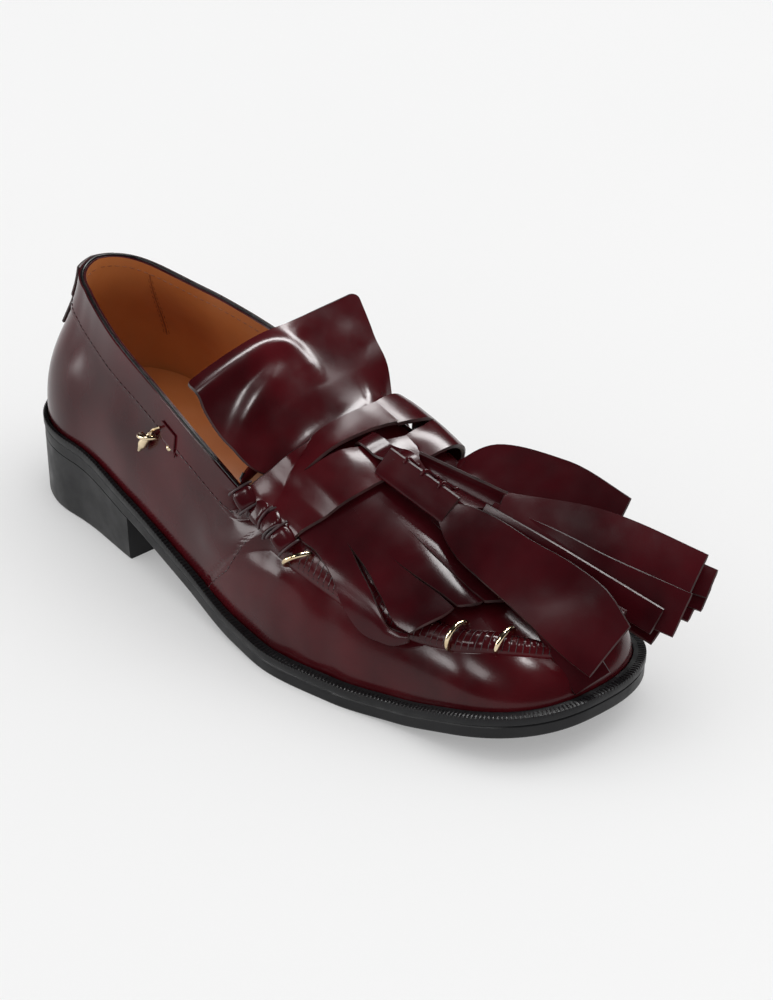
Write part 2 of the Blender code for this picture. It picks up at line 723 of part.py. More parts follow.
def make_kiltie(tree):
    """A flap cut into strips, its root under the strap, with the inner strip standing clear of the vamp."""
    shares = (0.0, 0.5, 1.0, 1.25, 1.5, 1.75, 2.0)
    points = []
    index = {}
    for j, cut in enumerate(KILTIE):
        for i, share in enumerate(shares):
            here = cut_place(cut, share)
            lift = KILTIE_LIFT + KILTIE_TIP_LIFT * max(share - 1, 0) ** 2
            spots = {0: here} if share <= 1 else {-1: here - [0, CUT_HALF], 1: here + [0, CUT_HALF]}
            if j + 1 < len(KILTIE):
                spots[2] = (here + cut_place(KILTIE[j + 1], share)) / 2
            for hand, spot in spots.items():
                index[j, i, hand] = len(points)
                points.append(on_vamp(tree, spot[0], spot[1], lift))
    faces = []
    for j in range(len(KILTIE) - 1):
        for i in range(len(shares) - 1):
            near = [index[j, n, 1 if shares[n] > 1 else 0] for n in (i, i + 1)]
            far = [index[j + 1, n, -1 if shares[n] > 1 else 0] for n in (i, i + 1)]
            middle = [index[j, n, 2] for n in (i, i + 1)]
            faces.append([near[0], near[1], middle[1], middle[0]])
            faces.append([middle[0], middle[1], far[1], far[0]])
    thing = sheet("kiltie", points, faces, KILTIE_THICK, 1.0)
    face_up(thing)
    fuse(thing, [make_strip("far_strip", FAR_STRIP)])


def head_frame():
    start = np.array([HEAD[0].x, HEAD[0].y, HEAD[0].z])
    end = np.array([HEAD[1].x, HEAD[1].y, HEAD[1].z])
    heading = (end - start) / np.linalg.norm(end - start)
    wide = np.array([heading[1], -heading[0], 0.0])
    wide /= np.linalg.norm(wide)
    return start, end, wide, np.cross(wide, heading) * np.sign(np.cross(wide, heading)[2])


def oval(share, less, turn):
    """A point of the head's oval, this much inside its outer face."""
    start, end, wide, high = head_frame()
    middle = start + (end - start) * share
    half_wide = read(HEAD, "half_wide", min(max(share, 0), 1)) - less
    half_high = read(HEAD, "half_high", min(max(share, 0), 1)) - less
    c, s = math.cos(turn), math.sin(turn)
    c = math.copysign(abs(c) ** 0.75, c)
    s = math.copysign(abs(s) ** 0.75, s)
    slant = (end - start) / np.linalg.norm(end - start) * c * half_wide * HEAD_SLANT
    return middle + wide * c * half_wide + high * s * half_high - slant


def make_head():
    """A sleeve open along its top, where it is laced."""
    shares = (0.0, 0.35, 0.7, 1.0)
    turns = np.radians(np.linspace(90 + LACED_GAP / 2, 450 - LACED_GAP / 2, 19))
    points = [oval(share, 0.0, turn) for share in shares for turn in turns]
    thing = make_object("tassel_wrap", points, grid_faces(len(shares), len(turns)), LEATHER, 0.2)
    work = bmesh.new()
    work.from_mesh(thing.data)
    middle = (np.array(points).mean(axis=0) - np.array([HEEL_MIDDLE, 0, 0])) * MM
    if sum(f.normal.dot(f.calc_center_median() - Vector(middle)) for f in work.faces) < 0:
        bmesh.ops.reverse_faces(work, faces=work.faces)
    work.to_mesh(thing.data)
    work.free()
    thicken(thing, WRAP_THICK, -1.0)


def tube(name, rings, colour, rough, metal=0.0):
    """A closed solid through rings of points."""
    count = len(rings[0])
    points = [p for ring in rings for p in ring]
    points += [np.mean(rings[0], axis=0), np.mean(rings[-1], axis=0)]
    faces = []
    last = len(rings) - 1
    for k in range(count):
        m = (k + 1) % count
        for i in range(last):
            faces.append([i * count + k, i * count + m, (i + 1) * count + m, (i + 1) * count + k])
        faces.append([len(points) - 2, m, k])
        faces.append([len(points) - 1, last * count + k, last * count + m])
    return make_object(name, points, faces, colour, rough, metal)


def make_fringe():
    turns = np.radians(np.arange(0, 360, 24))
    less = WRAP_THICK + GAP
    places = ((0.20, less), (1.0, less), (1.12, less + 0.8))
    rings = [[oval(share, inside, turn) for turn in turns] for share, inside in places]
    core = tube("tassel_fringe", rings, LEATHER, 0.2)
    fuse(core, [make_strip("strip_" + name, rows) for name, rows in TASSEL_STRIPS.items()])


def make_loop(tree):
    """A tab out of the strap's slot, over its front band and into the tassel's head."""
    points = []
    for x, lift in LOOP:
        for y in (-4.2, -0.8, 2.6):
            points.append(on_vamp(tree, x, y, lift))
    thing = sheet("tassel_loop", points, grid_faces(len(LOOP), 3), 1.2, 1.0)
    face_up(thing)


def make_roll(name, side):
    rings = []
    steps = ROLL_LUMPS * 4
    centres = []
    for k in range(steps + 1):
        at = k / steps
        around = read(ROLL, "around", at)
        level = read(ROLL, "level", at)
        near = upper_point(side, np.array([around]), np.array([level]))[0]
        out = upper_normal(side, np.array([around]), np.array([level]))[0]
        raised = float(seam_rise(around, level) + band_rise(side, around, level))
        centres.append(near + out * (ROLL_RADIUS + raised + 0.5))
    centres = np.array(centres)
    run = np.gradient(centres, axis=0)
    for k, (centre, heading) in enumerate(zip(centres, run)):
        heading = heading / np.linalg.norm(heading)
        first = np.cross(heading, [0, 0, 1.0])
        first /= np.linalg.norm(first)
        second = np.cross(heading, first)
        swell = abs(math.sin(math.pi * k / 4))
        radius = ROLL_RADIUS * (0.72 + 0.28 * swell)
        turns = np.radians(np.arange(0, 360, 45))
        rings.append([centre + radius * (first * math.cos(a) + second * math.sin(a)) for a in turns])
    tube(name, rings, LEATHER, 0.2)


def make_hoop(row):
    ends = []
    normals = []
    for around, level in ((row.low_at, row.low_level), (row.high_at, row.high_level)):
        ends.append(on_face(row.side, around, level, GAP + 0.25)[0])
        normals.append(upper_normal(row.side, np.array([around]), np.array([level]))[0])
    out = normals[0] + normals[1]
    chord = ends[1] - ends[0]
    radius = np.linalg.norm(chord) / 2
    chord = chord / np.linalg.norm(chord)
    out = out - chord * np.dot(out, chord)
    out /= np.linalg.norm(out)
    axle = np.cross(chord, out)
    middle = (ends[0] + ends[1]) / 2
    rings = []
    for a in np.radians(np.linspace(0, 180, 11)):
        spoke = -chord * math.cos(a) + out * math.sin(a)
        centre = middle + spoke * radius
        turns = np.radians(np.arange(0, 360, 60))
        rings.append([centre + HOOP_WIRE * (spoke * math.cos(b) + axle * math.sin(b)) for b in turns])
    tube(row.name, rings, METAL, 0.25, 1.0)


def make_patch(name, columns, levels, lift, thick):
    points = []
    for side, around in columns:
        points += list(on_face(side, np.full(len(levels), around), np.array(levels), lift))
    thing = make_object(name, points, grid_faces(len(columns), len(levels)), LEATHER, 0.2)
    work = bmesh.new()
    work.from_mesh(thing.data)
    side, around = columns[len(columns) // 2]
    out = upper_normal(side, np.array([max(around, 0.004)]), np.array([levels[0]]))[0]
    if sum(f.normal.dot(Vector(out)) for f in work.faces) < 0:
        bmesh.ops.reverse_faces(work, faces=work.faces)
    work.to_mesh(thing.data)
    work.free()
    thicken(thing, thick, 1.0)


clear_scene()
make_sole()
make_welt()
make_upper()
VAMP = vamp_tree()
make_tongue(VAMP)
make_strap(VAMP)
make_kiltie(VAMP)
make_loop(VAMP)
make_head()
make_fringe()
make_roll("roll_outer", -1)
make_roll("roll_inner", 1)
for hoop in HOOPS:
    make_hoop(hoop)
make_patch("back_strip", BACK_STRIP_PLACES, [0.52, 0.66, 0.80, 0.86, 0.95, 0.985], 0.4, 1.2)
make_patch("side_tab", SIDE_TAB_PLACES, [0.70, 0.76, 0.82, 0.88], 0.4, 1.0)
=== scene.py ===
import math
import bmesh
import bpy
import numpy as np
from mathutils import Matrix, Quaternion, Vector
from mathutils.bvhtree import BVHTree


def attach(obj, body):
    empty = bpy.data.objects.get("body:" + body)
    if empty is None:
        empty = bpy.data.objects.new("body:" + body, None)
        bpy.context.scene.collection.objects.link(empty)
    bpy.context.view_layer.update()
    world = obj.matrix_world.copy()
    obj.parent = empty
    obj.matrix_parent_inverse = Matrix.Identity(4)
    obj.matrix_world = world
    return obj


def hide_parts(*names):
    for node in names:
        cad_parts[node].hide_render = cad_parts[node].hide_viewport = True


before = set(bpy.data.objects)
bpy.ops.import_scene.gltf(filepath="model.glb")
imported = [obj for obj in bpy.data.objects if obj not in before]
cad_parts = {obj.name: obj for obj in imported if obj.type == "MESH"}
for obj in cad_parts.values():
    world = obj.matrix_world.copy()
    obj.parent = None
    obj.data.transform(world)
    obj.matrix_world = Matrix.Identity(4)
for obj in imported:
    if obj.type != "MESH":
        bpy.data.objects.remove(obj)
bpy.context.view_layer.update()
print("frame loaded with", len(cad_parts), "nodes")

# Lengths are millimetres from the back of the heel, and metres from the middle of the heel once meshed.
toMetres = 0.001
last = {
    "length": 265.0, "heelMiddle": 35.0, "heelArc": 34.0, "toeArc": 38.0, "heelRound": 2.2, "toeRound": 2.45,
    "heelEnd": 0.18, "toeStart": 0.80, "rollAt": 0.492, "throatAt": 0.553, "soleThick": 4.5, "gap": 0.3,
    "along": [0.00, 0.13, 0.26, 0.40, 0.52, 0.60, 0.70, 0.80, 0.88, 1.00],
    "lateral": [31.5, 31.5, 36.0, 41.0, 46.5, 49.0, 46.0, 40.5, 37.5, 33.0],
    "medial": [32.5, 32.5, 29.5, 27.0, 32.0, 38.5, 44.0, 45.5, 44.5, 40.0],
    "underside": [23.0, 22.4, 17.0, 8.0, 1.3, 0.0, 0.0, 1.9, 6.6, 12.4],
    "shelf": [2.0, 2.0, 2.5, 3.0, 3.8, 4.2, 4.4, 4.6, 4.8, 4.8],
    "footbed": [5.5, 5.2, 4.5, 3.6, 3.0, 3.0, 3.0, 3.0, 3.0, 3.0],
}
upperLeather = {
    "wall": 2.0, "sideFull": 0.55, "wallFull": 0.40, "topFull": 0.66, "domeFrom": -0.06, "domeTo": 0.02,
    "bandWide": 12.5, "bandRise": 0.7, "seamRise": 2.2, "seamHalf": 0.07, "seamPower": 2.6,
    "blendReach": 0.035, "blendSteps": 9, "blendWide": 0.045,  # evens the collar where the heel's turn ends
    "collarAt": [0.0, 0.13, 0.18, 0.25, 0.33, 0.411, 0.492, 1.0],
    "ahead": [12.5, 29.0, 36.0, 54.0, 80.0, 106.0, 131.0, 131.0],
    "collarLateral": [16.0, 16.0, 19.4, 25.4, 30.2, 33.5, 36.0, 36.0],
    "collarMedial": [18.5, 16.8, 17.8, 22.6, 27.5, 30.0, 34.0, 34.0],
    "height": [84.0, 81.0, 79.5, 76.0, 70.0, 62.0, 54.0, 54.0],
    "bulge": [3.0, 2.6, 2.5, 2.0, 1.5, 1.5, 2.0, 2.5],
    "crestAt": [0.553, 0.600, 0.665, 0.750, 0.800, 1.000],
    "crestAhead": [136.0, 152.0, 172.0, 196.0, 210.0, 236.0],
    "crestShift": [13.0, 13.0, 11.0, 7.0, 5.5, 3.0],
    "crestHeight": [71.5, 66.5, 57.5, 48.5, 43.5, 33.0],
    "seamAt": [0.50, 0.68, 0.74, 0.80, 0.86, 0.92, 1.00],
    "seamLevel": [0.42, 0.42, 0.43, 0.49, 0.585, 0.63, 0.65],
    "sideSeamLevel": [0.0, 0.18, 0.38, 0.425],  # vamp to quarter seam, from the welt to the roll
    "sideSeamAt": [0.440, 0.466, 0.509, 0.530],
    "puckerPitch": 0.0125, "pucker": 0.10,
    "vampFrom": 0.02, "vampTo": 0.05, "quarterFrom": -0.02, "quarterTo": 0.01,  # counted from the roll
    "bandFrom": -0.010, "bandTo": 0.003, "bandRows": (-0.012, 0.005), "seamRows": 0.085, "rowsReach": 0.03,
    "columns": (26, 116, 48),  # stations on heel, flank and toe
    "quarterRows": (50, 9, 17), "vampRows": (24, 30, 22),
}


def hermite(start, end, startLean, endLean, step, s):
    first = start * (1 + 2 * s) * (1 - s) ** 2 + startLean * step * s * (1 - s) ** 2
    return first + end * s * s * (3 - 2 * s) + endLean * step * s * s * (s - 1)


def column(table, key, name, at):
    xs = np.array(table[key], float)
    ys = np.array(table[name], float)
    step = np.diff(xs)
    slope = np.diff(ys) / step
    lean = np.zeros(len(xs))
    lean[0] = slope[0]
    lean[-1] = slope[-1]
    for k in range(1, len(xs) - 1):
        if slope[k - 1] * slope[k] > 0:  # no overshoot between rows
            first = 2 * step[k] + step[k - 1]
            second = step[k] + 2 * step[k - 1]
            lean[k] = (first + second) / (first / slope[k - 1] + second / slope[k])
    at = np.clip(np.asarray(at, float), xs[0], xs[-1])
    k = np.clip(np.searchsorted(xs, at, side="right") - 1, 0, len(xs) - 2)
    return hermite(ys[k], ys[k + 1], lean[k], lean[k + 1], step[k], (at - xs[k]) / step[k])


def ease(low, high, at):
    s = np.clip((np.asarray(at, float) - low) / (high - low), 0, 1)
    return s * s * (3 - 2 * s)


def unit(v):
    v = np.asarray(v, float)
    return v / np.maximum(np.linalg.norm(v, axis=-1, keepdims=True), 1e-9)


def together(*values):  # as arrays of one shape
    return np.broadcast_arrays(*[np.asarray(v, float) for v in values])


def walked(line):  # length from the start to each point
    return np.concatenate([[0], np.cumsum(np.linalg.norm(np.diff(line, axis=0), axis=1))])


def readLine(at, walk, line):
    return np.stack([np.interp(at, walk, line[:, k]) for k in range(3)], -1)


straight = last["length"] - last["toeArc"] - last["heelArc"]


def endTurns(around):
    heel = np.clip(around / last["heelEnd"], 0, 1) * math.pi / 2
    toe = np.clip((around - last["toeStart"]) / (1 - last["toeStart"]), 0, 1) * math.pi / 2
    return heel, toe


def byPlace(around, heel, flank, toe):
    return np.where(around < last["heelEnd"], heel, np.where(around > last["toeStart"], toe, flank))


def outlineX(around):
    heelTurn, toeTurn = endTurns(around)
    heel = last["heelArc"] * (1 - np.clip(np.cos(heelTurn), 0, 1) ** (2 / last["heelRound"]))
    flank = (around - last["heelEnd"]) / (last["toeStart"] - last["heelEnd"]) * straight + last["heelArc"]
    toe = last["length"] - last["toeArc"] * (1 - np.sin(toeTurn) ** (2 / last["toeRound"]))
    return byPlace(around, heel, flank, toe)


def endRound(around):
    heelTurn, toeTurn = endTurns(around)
    heel = np.sin(heelTurn) ** (2 / last["heelRound"])
    toe = np.clip(np.cos(toeTurn), 0, 1) ** (2 / last["toeRound"])
    return byPlace(around, heel, 1.0, toe)


def placeAt(x):
    return last["heelEnd"] + (x - last["heelArc"]) / straight * (last["toeStart"] - last["heelEnd"])


def soleEdge(side, around):
    x = outlineX(around)
    lateral = column(last, "along", "lateral", x / last["length"])
    medial = column(last, "along", "medial", x / last["length"])
    return np.stack([x, side * np.where(side < 0, lateral, medial) * endRound(around)], -1)


def edgeNormal(side, around):
    near = np.clip(around, 0.002, 0.998)
    run = soleEdge(side, near + 0.001) - soleEdge(side, near - 0.001)
    out = np.stack([run[..., 1], -run[..., 0]], -1) * -np.asarray(side, float)[..., None]
    out = unit(out)
    tip = ((around <= 0) | (around >= 1))[..., None]
    return np.where(tip, np.sign(around - 0.5)[..., None] * np.array([1.0, 0.0]), out)


def insetEdge(side, around, inset):
    side, around, inset = together(side, around, inset)
    place = soleEdge(side, around) - edgeNormal(side, around) * inset[..., None]
    place[..., 1] = np.where((around <= 0) | (around >= 1), 0.0, place[..., 1])
    return place


def underside(x):
    return column(last, "along", "underside", x / last["length"])


def soleTop(x):
    return underside(x) + last["soleThick"]


def shelfAt(x):
    return column(last, "along", "shelf", x / last["length"])


def stations(heel, flank, toe):
    back = np.linspace(0, last["heelEnd"], heel, endpoint=False)
    side = np.linspace(last["heelEnd"], last["toeStart"], flank, endpoint=False)
    return np.concatenate([back, side, np.linspace(last["toeStart"], 1, toe)])


def roundLoop(places):  # down the outer side, round the toe and back along the inner side
    sides = np.concatenate([-np.ones(len(places)), np.ones(len(places) - 2)])
    return sides, np.concatenate([places, places[-2:0:-1]])


def collarLine(side, around):
    u = upperLeather
    lateral = column(u, "collarAt", "collarLateral", around)
    medial = column(u, "collarAt", "collarMedial", around)
    back = u["ahead"][0]
    onHeel = back + (last["heelArc"] + 1.0 - back) * outlineX(around) / last["heelArc"]
    ahead = np.where(around < last["heelEnd"], onHeel, column(u, "collarAt", "ahead", around))
    half = np.where(side < 0, lateral, medial) * endRound(around)
    return np.stack([ahead, side * half, column(u, "collarAt", "height", around)], -1)


def collarPoint(side, around):  # the collar line, drawn smooth where the heel's turn ends
    u = upperLeather
    around = np.asarray(around, float)
    line = collarLine(side, around)
    shifts = np.linspace(-u["blendReach"], u["blendReach"], u["blendSteps"])
    mean = sum(collarLine(side, np.clip(around + s, 0, 1)) for s in shifts) / len(shifts)
    near = np.exp(-((around - last["heelEnd"]) / u["blendWide"]) ** 2)
    return line + (mean - line) * near[..., None]


def crestPoint(around):
    names = ("crestAhead", "crestShift", "crestHeight")
    return np.stack([column(upperLeather, "crestAt", name, around) for name in names], -1)


def topPoint(side, around):  # collar, then up the throat, then along the crest
    arch = np.clip((around - last["rollAt"]) / (last["throatAt"] - last["rollAt"]), 0, 1)[..., None]
    arch = arch * math.pi / 2
    collar = collarPoint(side, np.minimum(around, last["rollAt"]))
    throat = crestPoint(np.maximum(around, last["throatAt"]))
    flat = 1 - np.cos(arch)
    return collar + (throat - collar) * np.concatenate([flat, flat, np.sin(arch)], -1)


def upperPoint(side, around, level):  # level 0 at the welt, 1 at the top edge
    side, around, level = together(side, around, level)
    u = upperLeather
    flat = insetEdge(side, around, shelfAt(outlineX(around)))
    foot = np.concatenate([flat, (soleTop(flat[..., 0]) + last["gap"])[..., None]], -1)
    top = topPoint(side, around)
    out = np.concatenate([edgeNormal(side, around), np.zeros(around.shape + (1,))], -1)
    rise = np.zeros_like(foot)
    rise[..., 2] = top[..., 2] - foot[..., 2]
    swell = out * column(u, "collarAt", "bulge", around)[..., None]
    dome = ease(last["rollAt"] + u["domeFrom"], last["throatAt"] + u["domeTo"], around)[..., None]
    across = (foot - top) * np.array([1.0, 1.0, 0.0])
    low = foot + rise * u["sideFull"] + swell
    wall = top - rise * u["wallFull"] + swell
    high = wall + (top + across * u["topFull"] - wall) * dome
    s = level[..., None]
    return foot * (1 - s) ** 3 + 3 * low * s * (1 - s) ** 2 + 3 * high * s * s * (1 - s) + top * s ** 3


def upperNormal(side, around, level):
    step, climb = 0.003, 0.004  # how far off the neighbours are read
    around = np.clip(np.asarray(around, float), 0.004, 0.996)
    level = np.asarray(level, float)
    across = upperPoint(side, around + step, level) - upperPoint(side, around - step, level)
    rise = upperPoint(side, around, level + climb) - upperPoint(side, around, level - climb)
    return unit(np.cross(across, rise) * -np.asarray(side, float)[..., None])


def belowCollar(around, drop):  # the level of a line that far under the collar
    return 1 - drop / (column(upperLeather, "collarAt", "height", around) - soleTop(outlineX(around)))


def bandLevel(around):
    return belowCollar(around, upperLeather["bandWide"])


def seamLevel(around):
    return column(upperLeather, "seamAt", "seamLevel", around)


def fromSeam(around, level):  # in half widths of the moccasin seam
    return np.abs(level - seamLevel(around)) / upperLeather["seamHalf"]


def aheadOfRoll(around):
    return ease(last["rollAt"] + upperLeather["vampFrom"], last["rollAt"] + upperLeather["vampTo"], around)


def seamRise(around, level):
    u = upperLeather
    pleat = 1 + u["pucker"] * np.sin(2 * math.pi * around / u["puckerPitch"])
    ridge = np.clip(1 - fromSeam(around, level) ** u["seamPower"], 0, 1)
    return u["seamRise"] * aheadOfRoll(around) * pleat * ridge


def bandRise(around, level):
    u = upperLeather
    onQuarter = 1 - ease(last["rollAt"] + u["quarterFrom"], last["rollAt"] + u["quarterTo"], around)
    return u["bandRise"] * onQuarter * ease(u["bandFrom"], u["bandTo"], level - bandLevel(around))


def onFace(side, around, level, lift):
    side, around, level = together(side, around, level)
    raised = seamRise(around, level) + bandRise(around, level)
    return upperPoint(side, around, level) + upperNormal(side, around, level) * (raised + lift)[..., None]


# Mesh helpers
def faceNormal(corners):
    if len(corners) > 3:
        return np.cross(corners[2] - corners[0], corners[-1] - corners[1])
    return np.cross(corners[1] - corners[0], corners[2] - corners[0])


def pointNormals(points, faces):
    total = np.zeros_like(points)
    for face in faces:
        total[face] += faceNormal(points[face])
    return unit(total)


def loopNormals(grid):  # of rows that run round the shoe
    run = np.roll(grid, -1, 0) - np.roll(grid, 1, 0)
    return unit(np.cross(run, np.gradient(grid, axis=1)))


def gridFaces(rows, columns, start=0, closed=False):
    faces = []
    for i in range(rows if closed else rows - 1):
        near = start + i * columns
        far = start + (i + 1) % rows * columns
        for k in range(columns - 1):
            faces.append([near + k, far + k, far + k + 1, near + k + 1])
    return faces


def ringFaces(rings, count):
    faces = []
    for i in range(rings - 1):
        for k in range(count):
            m = (k + 1) % count
            faces.append([i * count + k, i * count + m, (i + 1) * count + m, (i + 1) * count + k])
    return faces


def capFaces(rings, count):
    return [list(range(count))[::-1], [(rings - 1) * count + k for k in range(count)]]


def weld(points, faces, near=0.02):
    keys = {}
    index = []
    kept = []
    for p in points:
        key = tuple(np.round(np.asarray(p) / near).astype(int))
        if key not in keys:
            keys[key] = len(kept)
            kept.append(p)
        index.append(keys[key])
    made = []
    for face in faces:
        face = list(dict.fromkeys(index[k] for k in face))
        if len(face) > 2:
            made.append(face)
    return np.array(kept, float), made


edgeSwell = 0.3  # how far a cut edge rounds out, as a share of the thickness


def skin(points, faces, thick, lift=0.0, up=None):
    points = np.array(points, float)
    normal = pointNormals(points, faces)
    if up is not None and float((normal @ np.asarray(up, float)).sum()) < 0:
        faces = [f[::-1] for f in faces]
        normal = -normal
    count = len(points)
    used = {}
    for f in faces:
        for a, b in zip(f, f[1:] + f[:1]):
            used[a, b] = used.get((a, b), 0) + 1
    rim = [(a, b) for a, b in used if (b, a) not in used]
    out = np.zeros_like(points)
    for a, b in rim:
        away = np.cross(points[b] - points[a], normal[a])
        out[a] += away
        out[b] += away
    out = unit(out)
    low = points + normal * lift
    high = points + normal * (lift + thick)
    middle = (low + high) / 2 + out * thick * edgeSwell
    made = [list(f) for f in faces] + [[k + count for k in f[::-1]] for f in faces]
    looks = [0] * len(made)
    for a, b in rim:
        made.append([b, a, a + 2 * count, b + 2 * count])
        made.append([b + 2 * count, a + 2 * count, a + count, b + count])
        looks += [1, 1]
    return np.concatenate([high, low, middle]), made, looks


def tube(path, radii, sides=12, frameUp=(0, 0, 1)):
    path = np.array(path, float)
    count = len(path)
    run = unit(np.gradient(path, axis=0))
    first = np.cross(run, np.asarray(frameUp, float))
    weak = np.linalg.norm(first, axis=1) < 0.2
    first[weak] = np.cross(run[weak], [1.0, 0.3, 0.0])
    first = unit(first)
    second = np.cross(run, first)
    radii = np.broadcast_to(radii, (count,))
    turns = np.linspace(0, 2 * math.pi, sides, endpoint=False)
    ring = first[:, None] * np.cos(turns)[None, :, None] + second[:, None] * np.sin(turns)[None, :, None]
    points = (path[:, None] + ring * radii[:, None, None]).reshape(-1, 3)
    return points, ringFaces(count, sides) + capFaces(count, sides)


def join(parts):
    points = []
    faces = []
    looks = []
    count = 0
    for part in parts:
        points.append(np.asarray(part[0], float))
        faces += [[k + count for k in f] for f in part[1]]
        looks += list(part[2]) if len(part) > 2 else [0] * len(part[1])
        count += len(part[0])
    return np.concatenate(points), faces, looks


def addPiece(name, mesh, materials, nodes=(), sharp=50, recalc=True):
    points, faces = mesh[0], mesh[1]
    looks = mesh[2] if len(mesh) > 2 else [0] * len(faces)
    data = bpy.data.meshes.new(name)
    placed = (np.asarray(points, float) - np.array([last["heelMiddle"], 0, 0])) * toMetres
    data.from_pydata([tuple(p) for p in placed], [], [[int(k) for k in f] for f in faces])
    for m in materials:
        data.materials.append(m)
    data.polygons.foreach_set("material_index", [min(k, len(materials) - 1) for k in looks])
    work = bmesh.new()
    work.from_mesh(data)
    bmesh.ops.delete(work, geom=[v for v in work.verts if not v.link_faces], context="VERTS")
    if recalc:
        bmesh.ops.recalc_face_normals(work, faces=work.faces)
    work.to_mesh(data)
    work.free()
    data.shade_smooth()
    data.set_sharp_from_angle(angle=math.radians(sharp))
    piece = bpy.data.objects.new(name, data)
    bpy.context.scene.collection.objects.link(piece)
    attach(piece, "root")
    if nodes:
        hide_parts(*nodes)
    return piece


stitchShape = {
    "long": 1.9, "space": 0.8, "bow": [-0.35, 0.55, 0.8, 0.55, -0.35], "taper": [0.7, 1, 1, 1, 0.7],
}


def stitches(path, normals, thread):
    q = stitchShape
    path = np.array(path, float)
    normals = np.array(normals, float)
    walk = walked(path)
    bow = np.array(q["bow"])[:, None] * thread
    parts = []
    at = q["space"] / 2
    while at + q["long"] < walk[-1]:
        spots = np.linspace(at, at + q["long"], len(bow))
        line = readLine(spots, walk, path) + readLine(spots, walk, normals) * bow
        parts.append(tube(line, thread * np.array(q["taper"]), 6))
        at += q["long"] + q["space"]
    return join(parts)


print("shape functions ready")

# Finishes
polish = {  # grain and ripple as scale and height in millimetres, cloud as the scale of the colour's change
    "deep": (0.031, 0.0019, 0.0033), "warm": (0.074, 0.0046, 0.0076), "rough": 0.20, "shine": 0.225,
    "coat": 0.04, "coatRough": 0.06, "cloud": 30.0, "grain": (1500.0, 0.012), "ripple": (45.0, 0.10),
}
trimPolish = {
    "deep": (0.023, 0.0018, 0.0031), "warm": (0.055, 0.0044, 0.0071), "rough": 0.20, "shine": 0.18,
    "coat": 0.03, "coatRough": 0.07, "cloud": 30.0, "grain": (1500.0, 0.012), "ripple": (70.0, 0.08),
}
cutEdge = {
    "deep": (0.020, 0.006, 0.006), "warm": (0.050, 0.014, 0.014), "rough": 0.42, "shine": 0.3,
    "cloud": 120.0, "grain": (2500.0, 0.05),
}
tanLining = {
    "deep": (0.46, 0.145, 0.036), "warm": (0.60, 0.215, 0.062), "rough": 0.52, "shine": 0.5,
    "cloud": 22.0, "grain": (1100.0, 0.03),
}
blackSole = {
    "deep": (0.0085, 0.0085, 0.0095), "warm": (0.016, 0.016, 0.017), "rough": 0.40, "shine": 0.20,
    "cloud": 40.0, "grain": (1800.0, 0.02),
}
blackTread = {**blackSole, "grain": (900.0, 0.08), "ribs": ("X", 55.0, 0.35)}  # ribs with their direction
blackEdge = {
    "deep": (0.006, 0.005, 0.006), "warm": (0.012, 0.009, 0.010), "rough": 0.30, "shine": 0.22,
    "cloud": 60.0, "grain": (1500.0, 0.01),
}
threadLook = {
    "deep": (0.020, 0.003, 0.005), "warm": (0.055, 0.012, 0.016), "rough": 0.45, "shine": 0.5,
    "cloud": 300.0, "grain": (3000.0, 0.05),
}
tanThreadLook = {**threadLook, "deep": (0.24, 0.070, 0.018), "warm": (0.34, 0.105, 0.030), "rough": 0.5}
paleGold = {
    "deep": (0.62, 0.47, 0.28), "warm": (0.86, 0.72, 0.50), "rough": 0.16, "shine": 0.5, "metal": 1.0,
    "cloud": 200.0, "grain": (3000.0, 0.004),
}


toneShape = {"stops": (0.34, 0.70), "rough": (0.8, 1.25), "roughFrom": 0.3, "roughTo": 0.7, "roughScale": 3.7}


def finish(name, look):
    material = bpy.data.materials.new(name)
    material.use_nodes = True
    tree = material.node_tree
    shader = tree.nodes["Principled BSDF"]
    shader.inputs["Metallic"].default_value = look.get("metal", 0.0)
    shader.inputs["Specular IOR Level"].default_value = look["shine"]
    shader.inputs["Coat Weight"].default_value = look.get("coat", 0.0)
    shader.inputs["Coat Roughness"].default_value = look.get("coatRough", 0.3)
    where = tree.nodes.new("ShaderNodeTexCoord").outputs["Object"]

    def addNode(kind, values):
        node = tree.nodes.new("ShaderNode" + kind)
        for socket, value in values.items():
            node.inputs[socket].default_value = value
        return node

    def noise(scale, detail):
        node = addNode("TexNoise", {"Scale": scale, "Detail": detail})
        tree.links.new(where, node.inputs["Vector"])
        return node.outputs["Fac"]

    def bumped(heights, size, below):
        node = addNode("Bump", {"Strength": 1.0, "Distance": size * toMetres})
        tree.links.new(heights, node.inputs["Height"])
        if below:
            tree.links.new(below, node.inputs["Normal"])
        return node.outputs["Normal"]

    tone = addNode("ValToRGB", {})
    for stop, place, key in zip(tone.color_ramp.elements, toneShape["stops"], ("deep", "warm")):
        stop.position = place
        stop.color = (*look[key], 1)
    tree.links.new(noise(look["cloud"], 3.0), tone.inputs["Fac"])
    tree.links.new(tone.outputs["Color"], shader.inputs["Base Color"])
    low, high = (look["rough"] * share for share in toneShape["rough"])
    reach = {"From Min": toneShape["roughFrom"], "From Max": toneShape["roughTo"]}
    rough = addNode("MapRange", {**reach, "To Min": low, "To Max": high})
    tree.links.new(noise(look["cloud"] * toneShape["roughScale"], 2.0), rough.inputs["Value"])
    tree.links.new(rough.outputs["Result"], shader.inputs["Roughness"])
    normal = None
    for key, detail in (("grain", 2.0), ("ripple", 1.0)):
        if key in look:
            normal = bumped(noise(look[key][0], detail), look[key][1], normal)
    if "ribs" in look:
        direction, scale, height = look["ribs"]
        wave = addNode("TexWave", {"Scale": scale})
        wave.bands_direction = direction
        tree.links.new(where, wave.inputs["Vector"])
        normal = bumped(wave.outputs["Fac"], height, normal)
    tree.links.new(normal, shader.inputs["Normal"])
    return material


